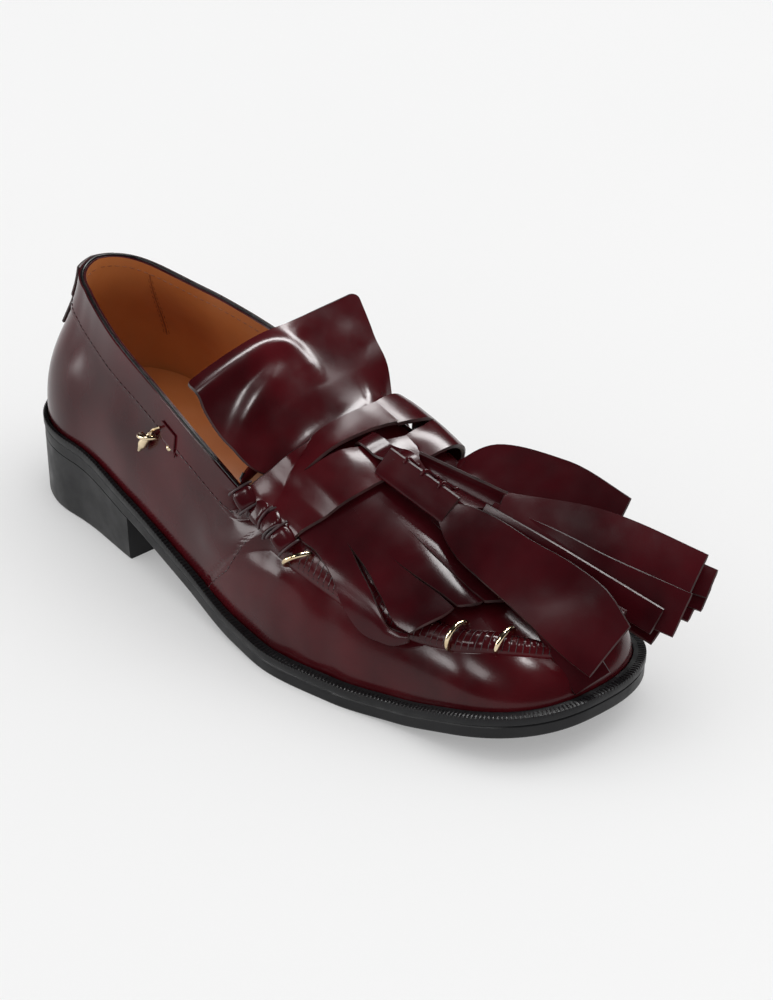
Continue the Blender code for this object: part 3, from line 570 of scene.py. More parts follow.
oxblood = finish("oxbloodLeather", polish)
oxbloodTrim = finish("oxbloodTrim", trimPolish)
rawEdge = finish("rawEdge", cutEdge)
tan = finish("tanLining", tanLining)
soleBlack = finish("soleBlack", blackSole)
treadBlack = finish("treadBlack", blackTread)
edgeBlack = finish("edgeBlack", blackEdge)
redThread = finish("redThread", threadLook)
tanThread = finish("tanThread", tanThreadLook)
goldMetal = finish("goldMetal", paleGold)
print("finishes ready")


# Sole, heel and foot bed
soleShape = {
    "sole": [(0.75, 0.0), (0.5, 0.06), (0.45, 0.2), (0.4, 0.6), (0.35, 0.9), (0.7, 1.0)],
    "heel": [(2.3, 0.0), (1.7, 0.015), (1.4, 0.05), (0.95, 0.5), (0.6, 0.9), (0.46, 1.0)],
    "bed": [(0.1, 0.0), (0.0, 0.5), (0.05, 0.85), (0.5, 1.0)],  # each as inset and share of the thickness
    "stations": (20, 70, 34), "across": 14, "breast": 70.0, "heelTop": 0.02, "bedGap": 0.6, "bedDish": 1.2,
    "dishWide": 40.0, "treadFlat": 0.9, "treadNear": 0.3, "sharp": 40,
}


def slab(places, profile, base, low, high, dish=0.0):
    across = soleShape["across"]
    rings = []
    for place in places:
        at = np.array([place])
        ring = {-1: [], 1: []}
        for side in (-1, 1):
            for inset, share in profile:
                spot = insetEdge(side, at, base(outlineX(at)) + inset)[0]
                z = float(low(spot[0]) + (high(spot[0]) - low(spot[0])) * share)
                ring[side].append(np.array([spot[0], spot[1], z]))
        lateral, medial = ring[-1], ring[1]
        wide = min(1.0, abs(medial[-1][1] - lateral[-1][1]) / soleShape["dishWide"])
        top = [lateral[-1] + (medial[-1] - lateral[-1]) * k / across for k in range(1, across)]
        for k, p in enumerate(top):
            u = 2 * (k + 1) / across - 1
            p[2] = float(high(p[0])) - dish * (1 - u * u) * wide
        under = [medial[0] + (lateral[0] - medial[0]) * k / across for k in range(1, across)]
        rings.append(lateral + top + medial[::-1] + under)
    count = len(rings[0])
    faces = ringFaces(len(rings), count)
    if places[-1] < 1:  # the heel's front face
        faces.append(capFaces(len(rings), count)[1])
    points, faces = weld(np.concatenate([np.array(r) for r in rings]), faces)
    looks = []
    for f in faces:  # the tread looks straight down
        corners = points[f]
        near = corners[:, 2].mean() < float(low(corners[:, 0].mean())) + soleShape["treadNear"]
        looks.append(1 if near and abs(unit(faceNormal(corners))[2]) > soleShape["treadFlat"] else 0)
    return points, faces, looks


def zeroAt(x):
    return 0 * x


def heelTop(x):
    return underside(x) + soleShape["heelTop"]


def bedLow(x):
    return soleTop(x) + last["gap"]


def bedTop(x):
    return bedLow(x) + column(last, "along", "footbed", x / last["length"])


def bedInset(x):
    return shelfAt(x) + upperLeather["wall"] + soleShape["bedGap"]


def makeSole():
    q = soleShape
    black = [soleBlack, treadBlack]
    fine = stations(*q["stations"])
    mesh = slab(fine, q["sole"], zeroAt, underside, soleTop)
    addPiece("walkingSole", mesh, black, ["outsole"], q["sharp"])
    flank = np.linspace(last["heelEnd"], placeAt(q["breast"]), 10)[1:]
    places = np.concatenate([np.linspace(0, last["heelEnd"], 22), flank])
    mesh = slab(places, q["heel"], zeroAt, zeroAt, heelTop)
    addPiece("heelBlock", mesh, black, ["heel"], q["sharp"])
    mesh = slab(fine, q["bed"], bedInset, bedLow, bedTop, q["bedDish"])
    addPiece("footbed", mesh, [tan], ["insole"], q["sharp"])


makeSole()
print("sole, heel and foot bed made")


# Welt with its wheeled ribs
weltShape = {
    "thick": 3.0, "edgeRound": 0.7, "stations": (24, 84, 40), "sharp": 40,
    "ribPitch": 1.5, "ribRadius": 0.42, "ribLong": 2.6, "ribLeast": 0.8,  # no rib where the welt is narrower
}


def weltSection(side, around):
    at = np.array([around])
    hand = np.array([float(side)])
    near = upperPoint(hand, at, np.array([0.0, 0.04, 0.08]))
    out = edgeNormal(hand, at)[0]
    reach = float((near[:, :2] @ out).max())
    start = near[0][:2] + out * (reach - float(near[0][:2] @ out) + last["gap"] + 0.1)
    edge = insetEdge(hand, at, 0.0)[0]
    low = float(soleTop(outlineX(at))[0]) + last["gap"]
    return start, edge, out, low


def makeWelt():
    w = weltShape
    r = w["edgeRound"]
    sides, arounds = roundLoop(stations(*w["stations"]))
    points = []
    for side, around in zip(sides, arounds):
        start, edge, out, low = weltSection(side, around)
        high = low + w["thick"]
        rim = [(0.2, low), (0.0, low + 0.3), (0.0, high - r), (0.2 * r, high - 0.35 * r), (r, high - 0.05)]
        points += [[*(edge - out * back), z] for back, z in rim]
        points += [[*start, high], [*start, low]]
    count = len(sides)
    ring = len(points) // count
    faces = []
    for i in range(count):
        j = (i + 1) % count
        for k in range(ring):
            m = (k + 1) % ring
            faces.append([ring * i + k, ring * j + k, ring * j + m, ring * i + m])
    addPiece("weltBand", (np.array(points), faces), [soleBlack], ["welt"], w["sharp"])
    walkAt = np.linspace(0, 1, 1200)
    r = w["ribRadius"]
    ribs = []
    for side in (-1.0, 1.0):
        walk = walked(soleEdge(side, walkAt))
        up = edgeNormal(np.array([side]), np.array([0.5]))[0].tolist() + [0.3]
        for at in np.arange(w["ribPitch"] / 2, walk[-1], w["ribPitch"]):
            start, edge, out, low = weltSection(side, float(np.interp(at, walk, walkAt)))
            wide = float((edge - start) @ out)
            if wide < w["ribLeast"]:
                continue
            z = low + w["thick"]
            steps = ((min(wide - 0.3, w["ribLong"]), 0.15), (0.75, 0.15), (0.3, 0.35), (0.12, 1.0))
            path = [[*(edge - out * back), z - down] for back, down in steps]
            ribs.append(tube(path, [r * 0.8, r, r, r * 0.6], 6, up))
    addPiece("weltRibs", join(ribs), [edgeBlack])


makeWelt()
print("welt made")


# Upper
creases = [  # soft troughs, or ridges where deep is below zero; ends as (around, level), sizes in millimetres
    {"side": -1, "start": (0.575, 0.33), "end": (0.600, 0.06), "wide": 7.0, "deep": 0.55},
    {"side": -1, "start": (0.640, 0.34), "end": (0.655, 0.05), "wide": 6.0, "deep": 0.45},
    {"side": 1, "start": (0.600, 0.36), "end": (0.620, 0.06), "wide": 7.0, "deep": 0.5},
    {"side": 1, "start": (0.660, 0.34), "end": (0.675, 0.05), "wide": 6.0, "deep": 0.4},
    {"side": -1, "start": (0.455, 0.37), "end": (0.575, 0.29), "wide": 6.0, "deep": -1.0},
    {"side": 1, "start": (0.455, 0.37), "end": (0.575, 0.29), "wide": 6.0, "deep": -0.8},
    {"side": -1, "start": (0.30, 0.55), "end": (0.40, 0.30), "wide": 10.0, "deep": 0.6},
    {"side": 1, "start": (0.28, 0.55), "end": (0.40, 0.32), "wide": 10.0, "deep": 0.6},
]
seamGroove = {
    "flank": 311.0, "overlap": 0.45, "ramp": 0.5, "fade": 9.0, "groove": 0.50, "grooveWide": 0.65,
    "endFrom": 0.41, "endTo": 0.45,
}
rollDraw = {
    "ahead": 0.006, "wide": 0.034, "low": (0.02, 0.12), "high": (0.86, 0.97), "pull": 0.5, "passes": 70,
}


def lineDistance(points, a, b):
    run = b - a
    s = np.clip(((points - a) @ run) / float(run @ run), 0, 1)
    return np.linalg.norm(points - (a + s[..., None] * run), axis=-1)


def sideSeam(arounds, levels):
    q = seamGroove
    middle = column(upperLeather, "sideSeamLevel", "sideSeamAt", levels)
    metric = q["flank"] * (arounds - middle)  # about a millimetre along the flank
    inside = 1 - ease(q["endFrom"], q["endTo"], levels)
    front = np.where(metric > 0, np.exp(-metric / q["fade"]), 0)
    groove = q["groove"] * np.exp(-(metric / q["grooveWide"]) ** 2)
    return inside * (q["overlap"] * front * ease(0, q["ramp"], metric) - groove)


def spread(knots, counts):
    parts = []
    for k, count in enumerate(counts):
        share = np.linspace(0, 1, count, endpoint=k == len(counts) - 1)[None, :]
        parts.append(knots[k] + (knots[k + 1] - knots[k]) * share)
    return np.concatenate(parts, 1)


def makeUpper():
    u = upperLeather
    places = np.unique(np.concatenate([stations(*u["columns"]), [last["rollAt"], last["throatAt"]]]))
    sides, arounds = roundLoop(places)
    band = bandLevel(arounds)[:, None]
    seam = seamLevel(arounds)[:, None]
    zero, one = 0 * band, 0 * band + 1
    quarter = spread([zero, band + u["bandRows"][0], band + u["bandRows"][1], one], u["quarterRows"])
    vamp = spread([zero, seam - u["seamRows"], seam + u["seamRows"], one], u["vampRows"])
    mix = ease(last["rollAt"] - u["rowsReach"], last["rollAt"] + u["rowsReach"], arounds)[:, None]
    levels = quarter * (1 - mix) + vamp * mix
    hand, at = np.broadcast_arrays(sides[:, None], arounds[:, None] + 0 * levels)
    base = upperPoint(hand, at, levels)
    normal = loopNormals(base)
    detail = seamRise(at, levels) + bandRise(at, levels)
    for c in creases:
        ends = [upperPoint(c["side"], *spot) for spot in (c["start"], c["end"])]
        detail -= c["deep"] * np.exp(-(lineDistance(base, *ends) / c["wide"]) ** 2)
    outer = base + normal * detail[..., None]
    d = rollDraw
    near = np.exp(-((at - last["rollAt"] - d["ahead"]) / d["wide"]) ** 2)
    soft = near * ease(*d["low"], levels) * (1 - ease(*d["high"], levels))
    for _ in range(d["passes"]):  # leather drawn smooth where the quarter meets the roll
        outer += d["pull"] * soft[..., None] * ((np.roll(outer, 1, 0) + np.roll(outer, -1, 0)) / 2 - outer)
    outer += normal * sideSeam(at, levels)[..., None]
    inner = base - normal * u["wall"]
    columns, rows = levels.shape
    index = np.arange(columns * rows).reshape(columns, rows)
    for i in range(columns // 2 + 1, columns):  # one row of points along the crest
        if arounds[i] >= last["throatAt"] - 1e-9:
            index[i, rows - 1] = index[columns - i, rows - 1]
    faces = []
    for i in range(columns):
        here, there = index[i], index[(i + 1) % columns]
        for k in range(rows - 1):
            corners = [here[k], there[k], there[k + 1], here[k + 1]]
            faces.append(list(dict.fromkeys(int(c) for c in corners)))
    count = columns * rows
    used = {(a, b) for f in faces for a, b in zip(f, f[1:] + f[:1])}
    made = faces + [[k + count for k in f[::-1]] for f in faces]
    looks = [0] * len(faces) + [1] * len(faces)
    for a, b in used:
        if (b, a) not in used:
            made.append([b, a, a + count, b + count])
            looks.append(0)
    outer = outer.reshape(-1, 3)
    mesh = (np.concatenate([outer, inner.reshape(-1, 3)]), made, looks)
    addPiece("upperShell", mesh, [oxblood, tan], ["upper"], 60, False)
    return BVHTree.FromPolygons([Vector(p) for p in outer], faces)


upperFace = makeUpper()
print("upper made")

# Edging along the collar, and the stitch rows
edging = {
    "radius": 0.62, "drop": 1.25, "past": 0.012, "bandRow": 0.030, "thread": 0.16, "seamRow": 0.0065,
    "fineThread": 0.15, "whip": 2.3, "whipFrom": 0.60, "whipThread": 0.2,
    "whipAlong": [-0.0022, -0.0012, 0.0, 0.0012, 0.0022], "whipUp": [-0.058, -0.036, 0.0, 0.036, 0.058],
    "liningRow": 3.2, "backSeam": 0.13, "backRow": 0.004, "backCord": 0.3,
}


def seated(points, lift):  # moved on to the made face
    found = [upperFace.find_nearest(Vector(p)) for p in points]
    return np.array([np.array(spot) + np.array(normal) * lift for spot, normal, _, _ in found])


def collarLoop():
    t = np.linspace(0.0, last["rollAt"] + edging["past"], 120)
    outer = onFace(-1, t, 1.0, -edging["drop"])
    inner = onFace(1, t[1:], 1.0, -edging["drop"])
    return np.concatenate([inner[::-1], outer])


def quarterRows(side):
    e = edging
    t = np.linspace(0.05, last["rollAt"] + 0.004, 160)
    level = bandLevel(t) + e["bandRow"]
    line = seated(onFace(side, t, level, 0.0), 0.04)
    parts = [stitches(line, upperNormal(side, t, level), e["thread"])]
    level = np.linspace(0.03, 0.405, 60)
    t = column(upperLeather, "sideSeamLevel", "sideSeamAt", level) + e["seamRow"]
    line = seated(onFace(side, t, level, 0.3), 0.03)
    parts.append(stitches(line, upperNormal(side, t, level), e["fineThread"]))
    walkAt = np.linspace(e["whipFrom"], 1.0, 400)
    walk = walked(onFace(side, walkAt, seamLevel(walkAt), 0.0))
    for place in np.arange(1.0, walk[-1], e["whip"]):
        t = np.interp(place, walk, walkAt) + np.array(e["whipAlong"])
        level = seamLevel(t) + np.array(e["whipUp"])
        parts.append(tube(seated(onFace(side, np.clip(t, 0, 1), level, 0.0), 0.02), e["whipThread"], 6))
    return parts


def liningRows():
    e = edging
    depth = upperLeather["wall"] - 0.03
    parts = []
    for side in (-1, 1):
        t = np.linspace(0.004, last["rollAt"] - 0.03, 170)
        level = belowCollar(t, e["liningRow"])
        out = upperNormal(side, t, level)
        parts.append(stitches(upperPoint(side, t, level) - out * depth, -out, e["fineThread"]))
    level = np.linspace(0.30, 0.94, 60)
    at = e["backSeam"]
    out = upperNormal(1, at, level)
    for shift in (-e["backRow"], e["backRow"]):
        parts.append(stitches(upperPoint(1, at + shift, level) - out * depth, -out, e["fineThread"]))
    parts.append(tube(upperPoint(1, at, level) - out * depth, e["backCord"], 8))
    return parts


addPiece("collarEdging", tube(collarLoop(), edging["radius"]), [edgeBlack])
addPiece("quarterStitches", join(quarterRows(-1) + quarterRows(1)), [redThread])
addPiece("liningStitches", join(liningRows()), [tanThread])
print("edging made")


# A face to lay the strap and kiltie on
layShape = {"stations": (10, 90, 40), "rows": 90, "bridge": 1.5, "above": 300.0, "narrow": 0.97}


def vampTree():
    sides, arounds = roundLoop(stations(*layShape["stations"]))
    levels = np.linspace(0, 1, layShape["rows"])
    hand, at, level = np.broadcast_arrays(sides[:, None], arounds[:, None], levels[None, :])
    base = upperPoint(hand, at, level)
    normal = loopNormals(base)
    bridge = np.exp(-(fromSeam(at, level) / layShape["bridge"]) ** 2)  # the leather on top bridges the seam
    soft = upperLeather["seamRise"] * aheadOfRoll(at) * bridge
    grid = base + normal * (soft + bandRise(at, level))[..., None]
    faces = gridFaces(len(sides), layShape["rows"], closed=True)
    points = grid.reshape(-1, 3)
    return BVHTree.FromPolygons([Vector(p) for p in points], faces), faces, points, normal.reshape(-1, 3)


vampFace, vampFaces, vampPoints, vampNormals = vampTree()


def onVamp(x, y, lift):
    reach = y
    hit = None
    while hit is None:
        hit, _, index, _ = vampFace.ray_cast(Vector((x, reach, layShape["above"])), Vector((0, 0, -1)))
        reach *= layShape["narrow"]
    corners = vampFaces[index]
    near = 1 / (np.linalg.norm(vampPoints[corners] - np.array(hit), axis=1) + 0.05) ** 2
    normal = unit((vampNormals[corners] * near[:, None]).sum(0))
    if normal[2] < 0:
        normal = -normal
    return np.array(hit) + normal * lift


def smoothRows(rows, count):
    rows = np.array(rows, float)
    walk = np.concatenate([[0], np.cumsum(np.linalg.norm(np.diff(rows, axis=0), axis=2).mean(1))])
    at = np.linspace(0, walk[-1], count)
    lean = np.gradient(rows, walk, axis=0)
    k = np.clip(np.searchsorted(walk, at, side="right") - 1, 0, len(walk) - 2)
    step = (walk[k + 1] - walk[k])[:, None, None]
    s = (at - walk[k])[:, None, None] / step
    return hermite(rows[k], rows[k + 1], lean[k], lean[k + 1], step, s)


def roundedGrid(grid, corners, reach):
    grid = np.asarray(grid, float)
    rows, columns = grid.shape[:2]
    v, u = np.meshgrid(np.linspace(0, 1, rows), np.linspace(0, 1, columns), indexing="ij")
    for atEnd, atFar in corners:  # which end of the rows, which side of the columns
        a = ((u if atFar else 1 - u) - (1 - reach[1])) / reach[1]
        b = ((v if atEnd else 1 - v) - (1 - reach[0])) / reach[0]
        inside = (a > 0) & (b > 0)
        k = np.where(inside, np.maximum(a, b) / np.maximum(np.hypot(a, b), 1e-9), 1)
        a2, b2 = 1 - reach[1] + a * k * reach[1], 1 - reach[0] + b * k * reach[0]
        u = np.where(inside, a2 if atFar else 1 - a2, u)
        v = np.where(inside, b2 if atEnd else 1 - b2, v)
    y, x = v * (rows - 1), u * (columns - 1)
    i, j = np.clip(y.astype(int), 0, rows - 2), np.clip(x.astype(int), 0, columns - 2)
    f, g = (y - i)[..., None], (x - j)[..., None]
    top = grid[i, j] * (1 - g) + grid[i, j + 1] * g
    return top * (1 - f) + (grid[i + 1, j] * (1 - g) + grid[i + 1, j + 1] * g) * f


def along(line, count):
    line = np.asarray(line, float)
    return smoothRows(line[:, None, :], count)[:, 0]


# Tongue
tongueShape = {
    "thick": 1.6, "columns": 81, "rows": 64, "foot": [(147.0, 0.80), (139.5, 0.92)], "footHalf": (31.0, 28.0),
    "footBow": 3.0, "footLift": 0.5,
    "ahead": [128.0, 122.0, 115.0, 109.0], "bow": [3.0, 2.0, 2.0, 1.0],
    "lateral": [36.0, 38.5, 39.5, 39.5], "medial": [30.0, 31.5, 33.5, 35.0],
    "outer": [66.0, 72.5, 79.5, 86.2], "middle": [78.0, 82.0, 87.0, 92.8], "inner": [78.0, 82.5, 88.4, 94.4],
    "curl": 1.8, "curlWide": 0.13, "curlFrom": -0.35, "curlTo": 0.80, "ridgeSteps": 240,
    "ridges": [  # crests in the leather, as (up, across) with a height at each point, and their half width
        {"line": [(0.915, -1.0), (0.92, -0.75), (0.92, -0.45), (0.915, -0.22), (0.885, -0.09), (0.81, 0.0),
                  (0.64, 0.05), (0.45, 0.06)],
         "high": [2.0, 2.0, 2.0, 2.0, 1.8, 1.5, 1.0, 0.1], "wide": 4.0},
        {"line": [(0.93, 0.32), (0.82, 0.50), (0.70, 0.72), (0.60, 0.90)],
         "high": [0.0, 0.8, 0.8, 0.0], "wide": 8.0},
        {"line": [(0.76, -0.12), (0.66, -0.36), (0.62, -0.55), (0.57, -0.73), (0.50, -0.97)],
         "high": [0.3, 1.2, 1.5, 1.5, 1.1], "wide": 4.0},
    ],
}


def makeTongue():
    t = tongueShape
    outs = np.linspace(-1, 1, t["columns"])
    rows = []
    for x, share in t["foot"]:
        row = []
        for u in outs:
            half = t["footHalf"][0 if u < 0 else 1]
            row.append(onVamp(x - t["footBow"] * u * u, u * half * share, t["footLift"]))
        rows.append(row)
    for k in range(len(t["ahead"])):
        row = []
        for u in outs:
            y = u * (t["lateral"][k] if u < 0 else t["medial"][k])
            edge = t["outer"][k] if u < 0 else t["inner"][k]
            z = t["middle"][k] + (edge - t["middle"][k]) * abs(u) ** 1.6
            row.append([t["ahead"][k] + t["bow"][k] * u * u * (1 if u < 0 else 0.5), y, z])
        rows.append(row)
    grid = smoothRows(rows, t["rows"])
    faces = gridFaces(t["rows"], t["columns"])
    normal = pointNormals(grid.reshape(-1, 3), faces).reshape(grid.shape)
    normal = normal * np.sign(normal[..., 2].sum())
    v, u = np.meshgrid(np.linspace(0, 1, t["rows"]), outs, indexing="ij")
    rise = np.zeros(v.shape)
    fine = np.linspace(0, 1, t["ridgeSteps"])
    for ridge in t["ridges"]:
        spots = []
        for up, across in ridge["line"]:
            spots.append(grid[round(up * (t["rows"] - 1)), round((across + 1) / 2 * (t["columns"] - 1))])
        line = along(spots, t["ridgeSteps"])
        high = np.interp(fine, np.linspace(0, 1, len(spots)), ridge["high"])
        away = np.linalg.norm(grid[:, :, None] - line[None, None], axis=-1)
        rise += high[away.argmin(-1)] * np.exp(-(away.min(-1) / ridge["wide"]) ** 2)
    edge = np.clip((v - 1 + t["curlWide"]) / t["curlWide"], 0, 1)
    curl = t["curl"] * edge ** 2 * (1 - ease(t["curlFrom"], t["curlTo"], u))
    grid = grid + normal * (rise - curl)[..., None]
    grid = roundedGrid(grid, [(True, True)], (0.06, 0.045))
    grid = roundedGrid(grid, [(True, False)], (0.03, 0.02))
    mesh = skin(grid.reshape(-1, 3), faces, t["thick"], up=(0.4, 0, 1))
    addPiece("tongueFlap", mesh, [oxblood, rawEdge], ["tongue"])


makeTongue()

# Strap with its slot
strapShape = {
    "thick": 1.8, "rows": 70, "rearColumns": 9, "frontColumns": 11, "rearLift": 0.7, "frontDrop": 0.7,
    "slotLeast": 0.3, "slotOpen": 1.5,
    "across": [-36.0, -32.8, -27.2, -19.8, -11.0, -3.0, 5.0, 12.0, 18.0, 22.0, 26.0, 28.5, 31.0, 33.0],
    "rear": [133.5, 134.8, 137.6, 139.8, 141.4, 142.5, 143.0, 143.5, 143.5, 143.0, 141.5, 140.5, 147.0,
             154.0],
    "front": [159.0, 160.7, 163.3, 166.0, 167.9, 168.6, 168.8, 168.8, 168.5, 168.0, 167.0, 166.0, 164.0,
              162.0],
    "slotRear": [147.0, 147.0, 148.2, 149.5, 150.4, 151.5, 152.5, 154.0, 156.5, 157.0, 155.5, 154.0, 156.0,
                 158.5],
    "slotFront": [147.0, 147.0, 148.2, 149.9, 151.9, 155.6, 157.4, 158.6, 158.6, 157.0, 155.5, 154.0, 156.0,
                  158.5],
    "lift": [0.9, 2.3, 2.4, 4.4, 4.4, 4.0, 4.0, 4.7, 5.3, 5.7, 5.2, 3.6, 2.0, 1.0],
}


def makeStrap():
    s = strapShape
    ys = np.linspace(s["across"][0], s["across"][-1], s["rows"])
    names = ("rear", "front", "slotRear", "slotFront", "lift")
    rear, front, slotRear, slotFront, lift = (column(s, "across", name, ys) for name in names)
    slotFront = np.where(slotFront - slotRear < s["slotLeast"], slotRear, slotFront)
    points = []
    for k, y in enumerate(ys):
        ajar = float(ease(0.0, s["slotOpen"], slotFront[k] - slotRear[k]))
        for m, x in enumerate(np.linspace(rear[k], slotRear[k], s["rearColumns"])):
            share = m / (s["rearColumns"] - 1)
            points.append(onVamp(x, y, lift[k] + s["rearLift"] * ajar * share ** 2))
        for m, x in enumerate(np.linspace(slotFront[k], front[k], s["frontColumns"])):
            share = m / (s["frontColumns"] - 1)
            points.append(onVamp(x, y, lift[k] - s["frontDrop"] * ajar * (1 - share) ** 3))
    wide = s["rearColumns"] + s["frontColumns"]
    faces = [f for f in gridFaces(s["rows"], wide) if f[0] % wide != s["rearColumns"] - 1]
    mesh = skin(*weld(points, faces), s["thick"], up=(0, 0, 1))
    addPiece("saddleStrap", mesh, [oxblood, rawEdge], ["strap"])


makeStrap()
print("tongue and strap made")

# Kiltie, cut into strips
kiltieShape = {
    "thick": 1.3, "lift": 0.7, "tipLift": 1.5, "steps": 45, "across": 11, "crown": 0.5, "looseFrom": 0.45,
    "strips": [  # outer edge, inner edge, how far the end bows out
        ([(153, -30.5), (160.6, -34.6), (167.7, -34.2), (173.2, -34.7), (177.4, -35.3), (183.7, -36.9),
          (188.0, -37.1), (194.1, -36.7), (200.5, -35.3), (207.4, -33.5), (211.5, -31.9)],
         [(155, -25.0), (165, -25.6), (174.2, -26.4), (183.5, -29.2), (190.5, -31.1), (197.6, -33.0),
          (202.1, -33.5), (206.4, -32.8), (211.4, -31.7)], 0.2),
        ([(155, -25.0), (165, -25.6), (174.2, -26.4), (185.4, -27.7), (195.5, -30.3), (205.1, -32.0),
          (211.6, -31.1)],
         [(158, -17.5), (172, -18.8), (187.0, -20.3), (201.3, -19.8), (210.5, -19.0), (218.0, -19.4)], 2.6),
        ([(158, -17.5), (172, -18.8), (187.0, -20.3), (201.3, -19.0), (210.5, -18.0), (218.5, -17.8)],
         [(160, -9.5), (173, -10.2), (186.0, -10.2), (196.0, -10.9), (210.0, -11.4), (223.0, -12.2)], 1.5),
        ([(160, -9.5), (173, -10.2), (186.0, -10.2), (196.0, -10.3), (210.0, -10.6), (223.5, -11.2)],
         [(161, -1.0), (174, -1.6), (187.0, -2.0), (200.0, -2.8), (213.0, -3.2), (227.0, -3.8)], 1.2),
        ([(161, -1.0), (174, -1.6), (187.0, -2.0), (200.0, -2.0), (213.0, -2.2), (227.0, -2.6)],
         [(162, 8.0), (174, 8.3), (187.0, 8.5), (200.0, 7.6), (213.0, 7.0), (228.0, 6.6)], 1.2),
        ([(162, 8.0), (174, 8.3), (187.0, 8.5), (200.0, 8.6), (213.0, 8.0), (228.0, 7.4)],
         [(162, 16.0), (174, 17.6), (186.0, 19.0), (199.0, 18.6), (211.0, 18.4), (224.0, 18.4)], 1.2),
        ([(162, 16.0), (174, 17.6), (186.0, 19.0), (199.0, 19.6), (211.0, 19.6), (224.0, 19.6)],
         [(161, 24.0), (172, 26.6), (184.0, 29.0), (194.0, 30.0), (204.0, 30.6), (214.0, 31.0)], 1.2),
    ],
}
farStrip = {
    "at": [0.0, 0.3, 0.65, 1.0], "x": [178.0, 188.0, 208.0, 230.0], "y": [18.5, 26.5, 34.0, 43.5],
    "z": [60.0, 61.5, 59.5, 53.5], "width": [12.0, 20.0, 22.0, 16.0], "tilt": [0.0, 28.0, 38.0, 50.0],
    "crown": [0.0, 0.7, 0.9, 0.4], "steps": 30, "across": 9,
}


def ribbon(table, steps, across):
    at = np.linspace(table["at"][0], table["at"][-1], steps)
    spine = np.stack([column(table, "at", n, at) for n in ("x", "y", "z")], -1)
    width, tilt, crown = (column(table, "at", n, at) for n in ("width", "tilt", "crown"))
    run = unit(np.gradient(spine, axis=0))
    level = unit(np.stack([run[:, 1], -run[:, 0], 0 * run[:, 0]], -1))
    rise = np.cross(level, run)
    rise = rise * np.sign(rise[:, 2:3])
    turn = np.radians(tilt)[:, None]
    out = level * np.cos(turn) - rise * np.sin(turn)
    top = rise * np.cos(turn) + level * np.sin(turn)
    u = np.linspace(-1, 1, across)[None, :, None]
    grid = spine[:, None] + out[:, None] * u * width[:, None, None] / 2
    return grid + top[:, None] * crown[:, None, None] * (1 - u * u)


def stripMesh(table, thick, steps, across):
    grid = ribbon(table, steps, across)
    return skin(grid.reshape(-1, 3), gridFaces(steps, across), thick, -thick / 2, (0, 0, 1))


def makeKiltie():
    q = kiltieShape
    points = []
    faces = []
    for outer, inner, bow in q["strips"]:
        start = len(points)
        near, far = along(outer, q["steps"]), along(inner, q["steps"])
        for i in range(q["steps"]):
            loose = max(i / (q["steps"] - 1) - q["looseFrom"], 0) / (1 - q["looseFrom"])
            ahead = unit(near[i] - near[i - 1] + far[i] - far[i - 1]) if i else np.zeros(2)
            for m in range(q["across"]):
                u = 2 * m / (q["across"] - 1) - 1
                spot = near[i] + (far[i] - near[i]) * m / (q["across"] - 1)
                spot = spot + ahead * bow * (1 - u * u) * loose ** 2
                lift = q["lift"] + q["tipLift"] * loose ** 2 + q["crown"] * (1 - u * u) * loose
                points.append(onVamp(spot[0], spot[1], lift))
        faces += gridFaces(q["steps"], q["across"], start)
    parts = [skin(*weld(points, faces), q["thick"], up=(0, 0, 1))]
    parts.append(stripMesh(farStrip, q["thick"], farStrip["steps"], farStrip["across"]))
    addPiece("kiltieFlap", join(parts), [oxbloodTrim, rawEdge], ["kiltie"])


makeKiltie()
print("kiltie made")

# Tassel: a loop, a laced head and its strips
tasselHead = {
    "start": (170.5, -2.0, 69.4), "end": (200.5, 5.0, 61.0), "slant": 0.46, "thick": 1.4,
    "startSection": [(-1.6, 4.0), (-3.9, 0.6), (-6.2, -3.2), (-6.6, -4.6), (-4.8, -5.4), (1.0, -5.2),
                     (6.6, -3.4), (8.2, -1.2), (8.0, 1.2)],
    "endSection": [(-4.6, 4.2), (-7.2, 0.6), (-9.4, -2.8), (-9.9, -4.3), (-7.6, -5.2), (1.0, -4.8),
                   (9.0, -2.6), (11.2, 0.4), (11.0, 3.6)],
    "rows": 25, "columns": 61, "laces": 3, "laceFrom": 0.22, "lacePitch": 0.25, "laceAcross": 0.44,
    "laceInset": 1.8, "thread": 0.5,
    "knot": [0.7, 1.3, 1.7, 1.8, 1.8, 1.8, 1.7, 1.3, 0.7],
    "core": [(0.03, 3.4), (0.05, 2.4), (0.12, 1.9), (0.6, 1.8), (1.0, 1.8), (1.10, 2.6)],  # share and inset
    "coreLid": 0.9,
}
tasselLoop = {
    "spots": [(153.2, 2.4), (154.2, 5.2), (157.0, 6.3), (161.0, 6.8), (164.5, 8.9), (167.0, 11.0),
              (170.0, 12.0), (175.0, 11.0)],
    "from": [-4.2, -4.2, -4.2, -4.2, -4.0, -3.2, -2.0, -1.0], "to": [2.2, 2.2, 2.4, 2.6, 2.8, 3.0, 3.0, 3.0],
    "thick": 1.2, "rows": 30, "columns": 9,
}
tasselFront = {
    "left": [(193.6, -3.9, 57.6), (198.1, -6.0, 54.3), (206.2, -8.6, 51.3), (221.2, -11.1, 49.2),
             (233.6, -11.2, 46.1), (245.2, -9.9, 41.0), (257.2, -7.4, 34.4), (265.7, -4.7, 30.0)],
    "right": [(197.0, 0.2, 62.6), (202.0, 2.0, 62.9), (209.5, 3.5, 62.6), (228.0, 6.0, 59.2),
              (245.2, 8.0, 57.0), (258.7, 9.2, 53.0), (269.8, 8.8, 45.0)],
    "crown": [0.2, 0.2, 0.3, 0.6, 0.8], "thick": 1.3, "steps": 34, "across": 11,
}
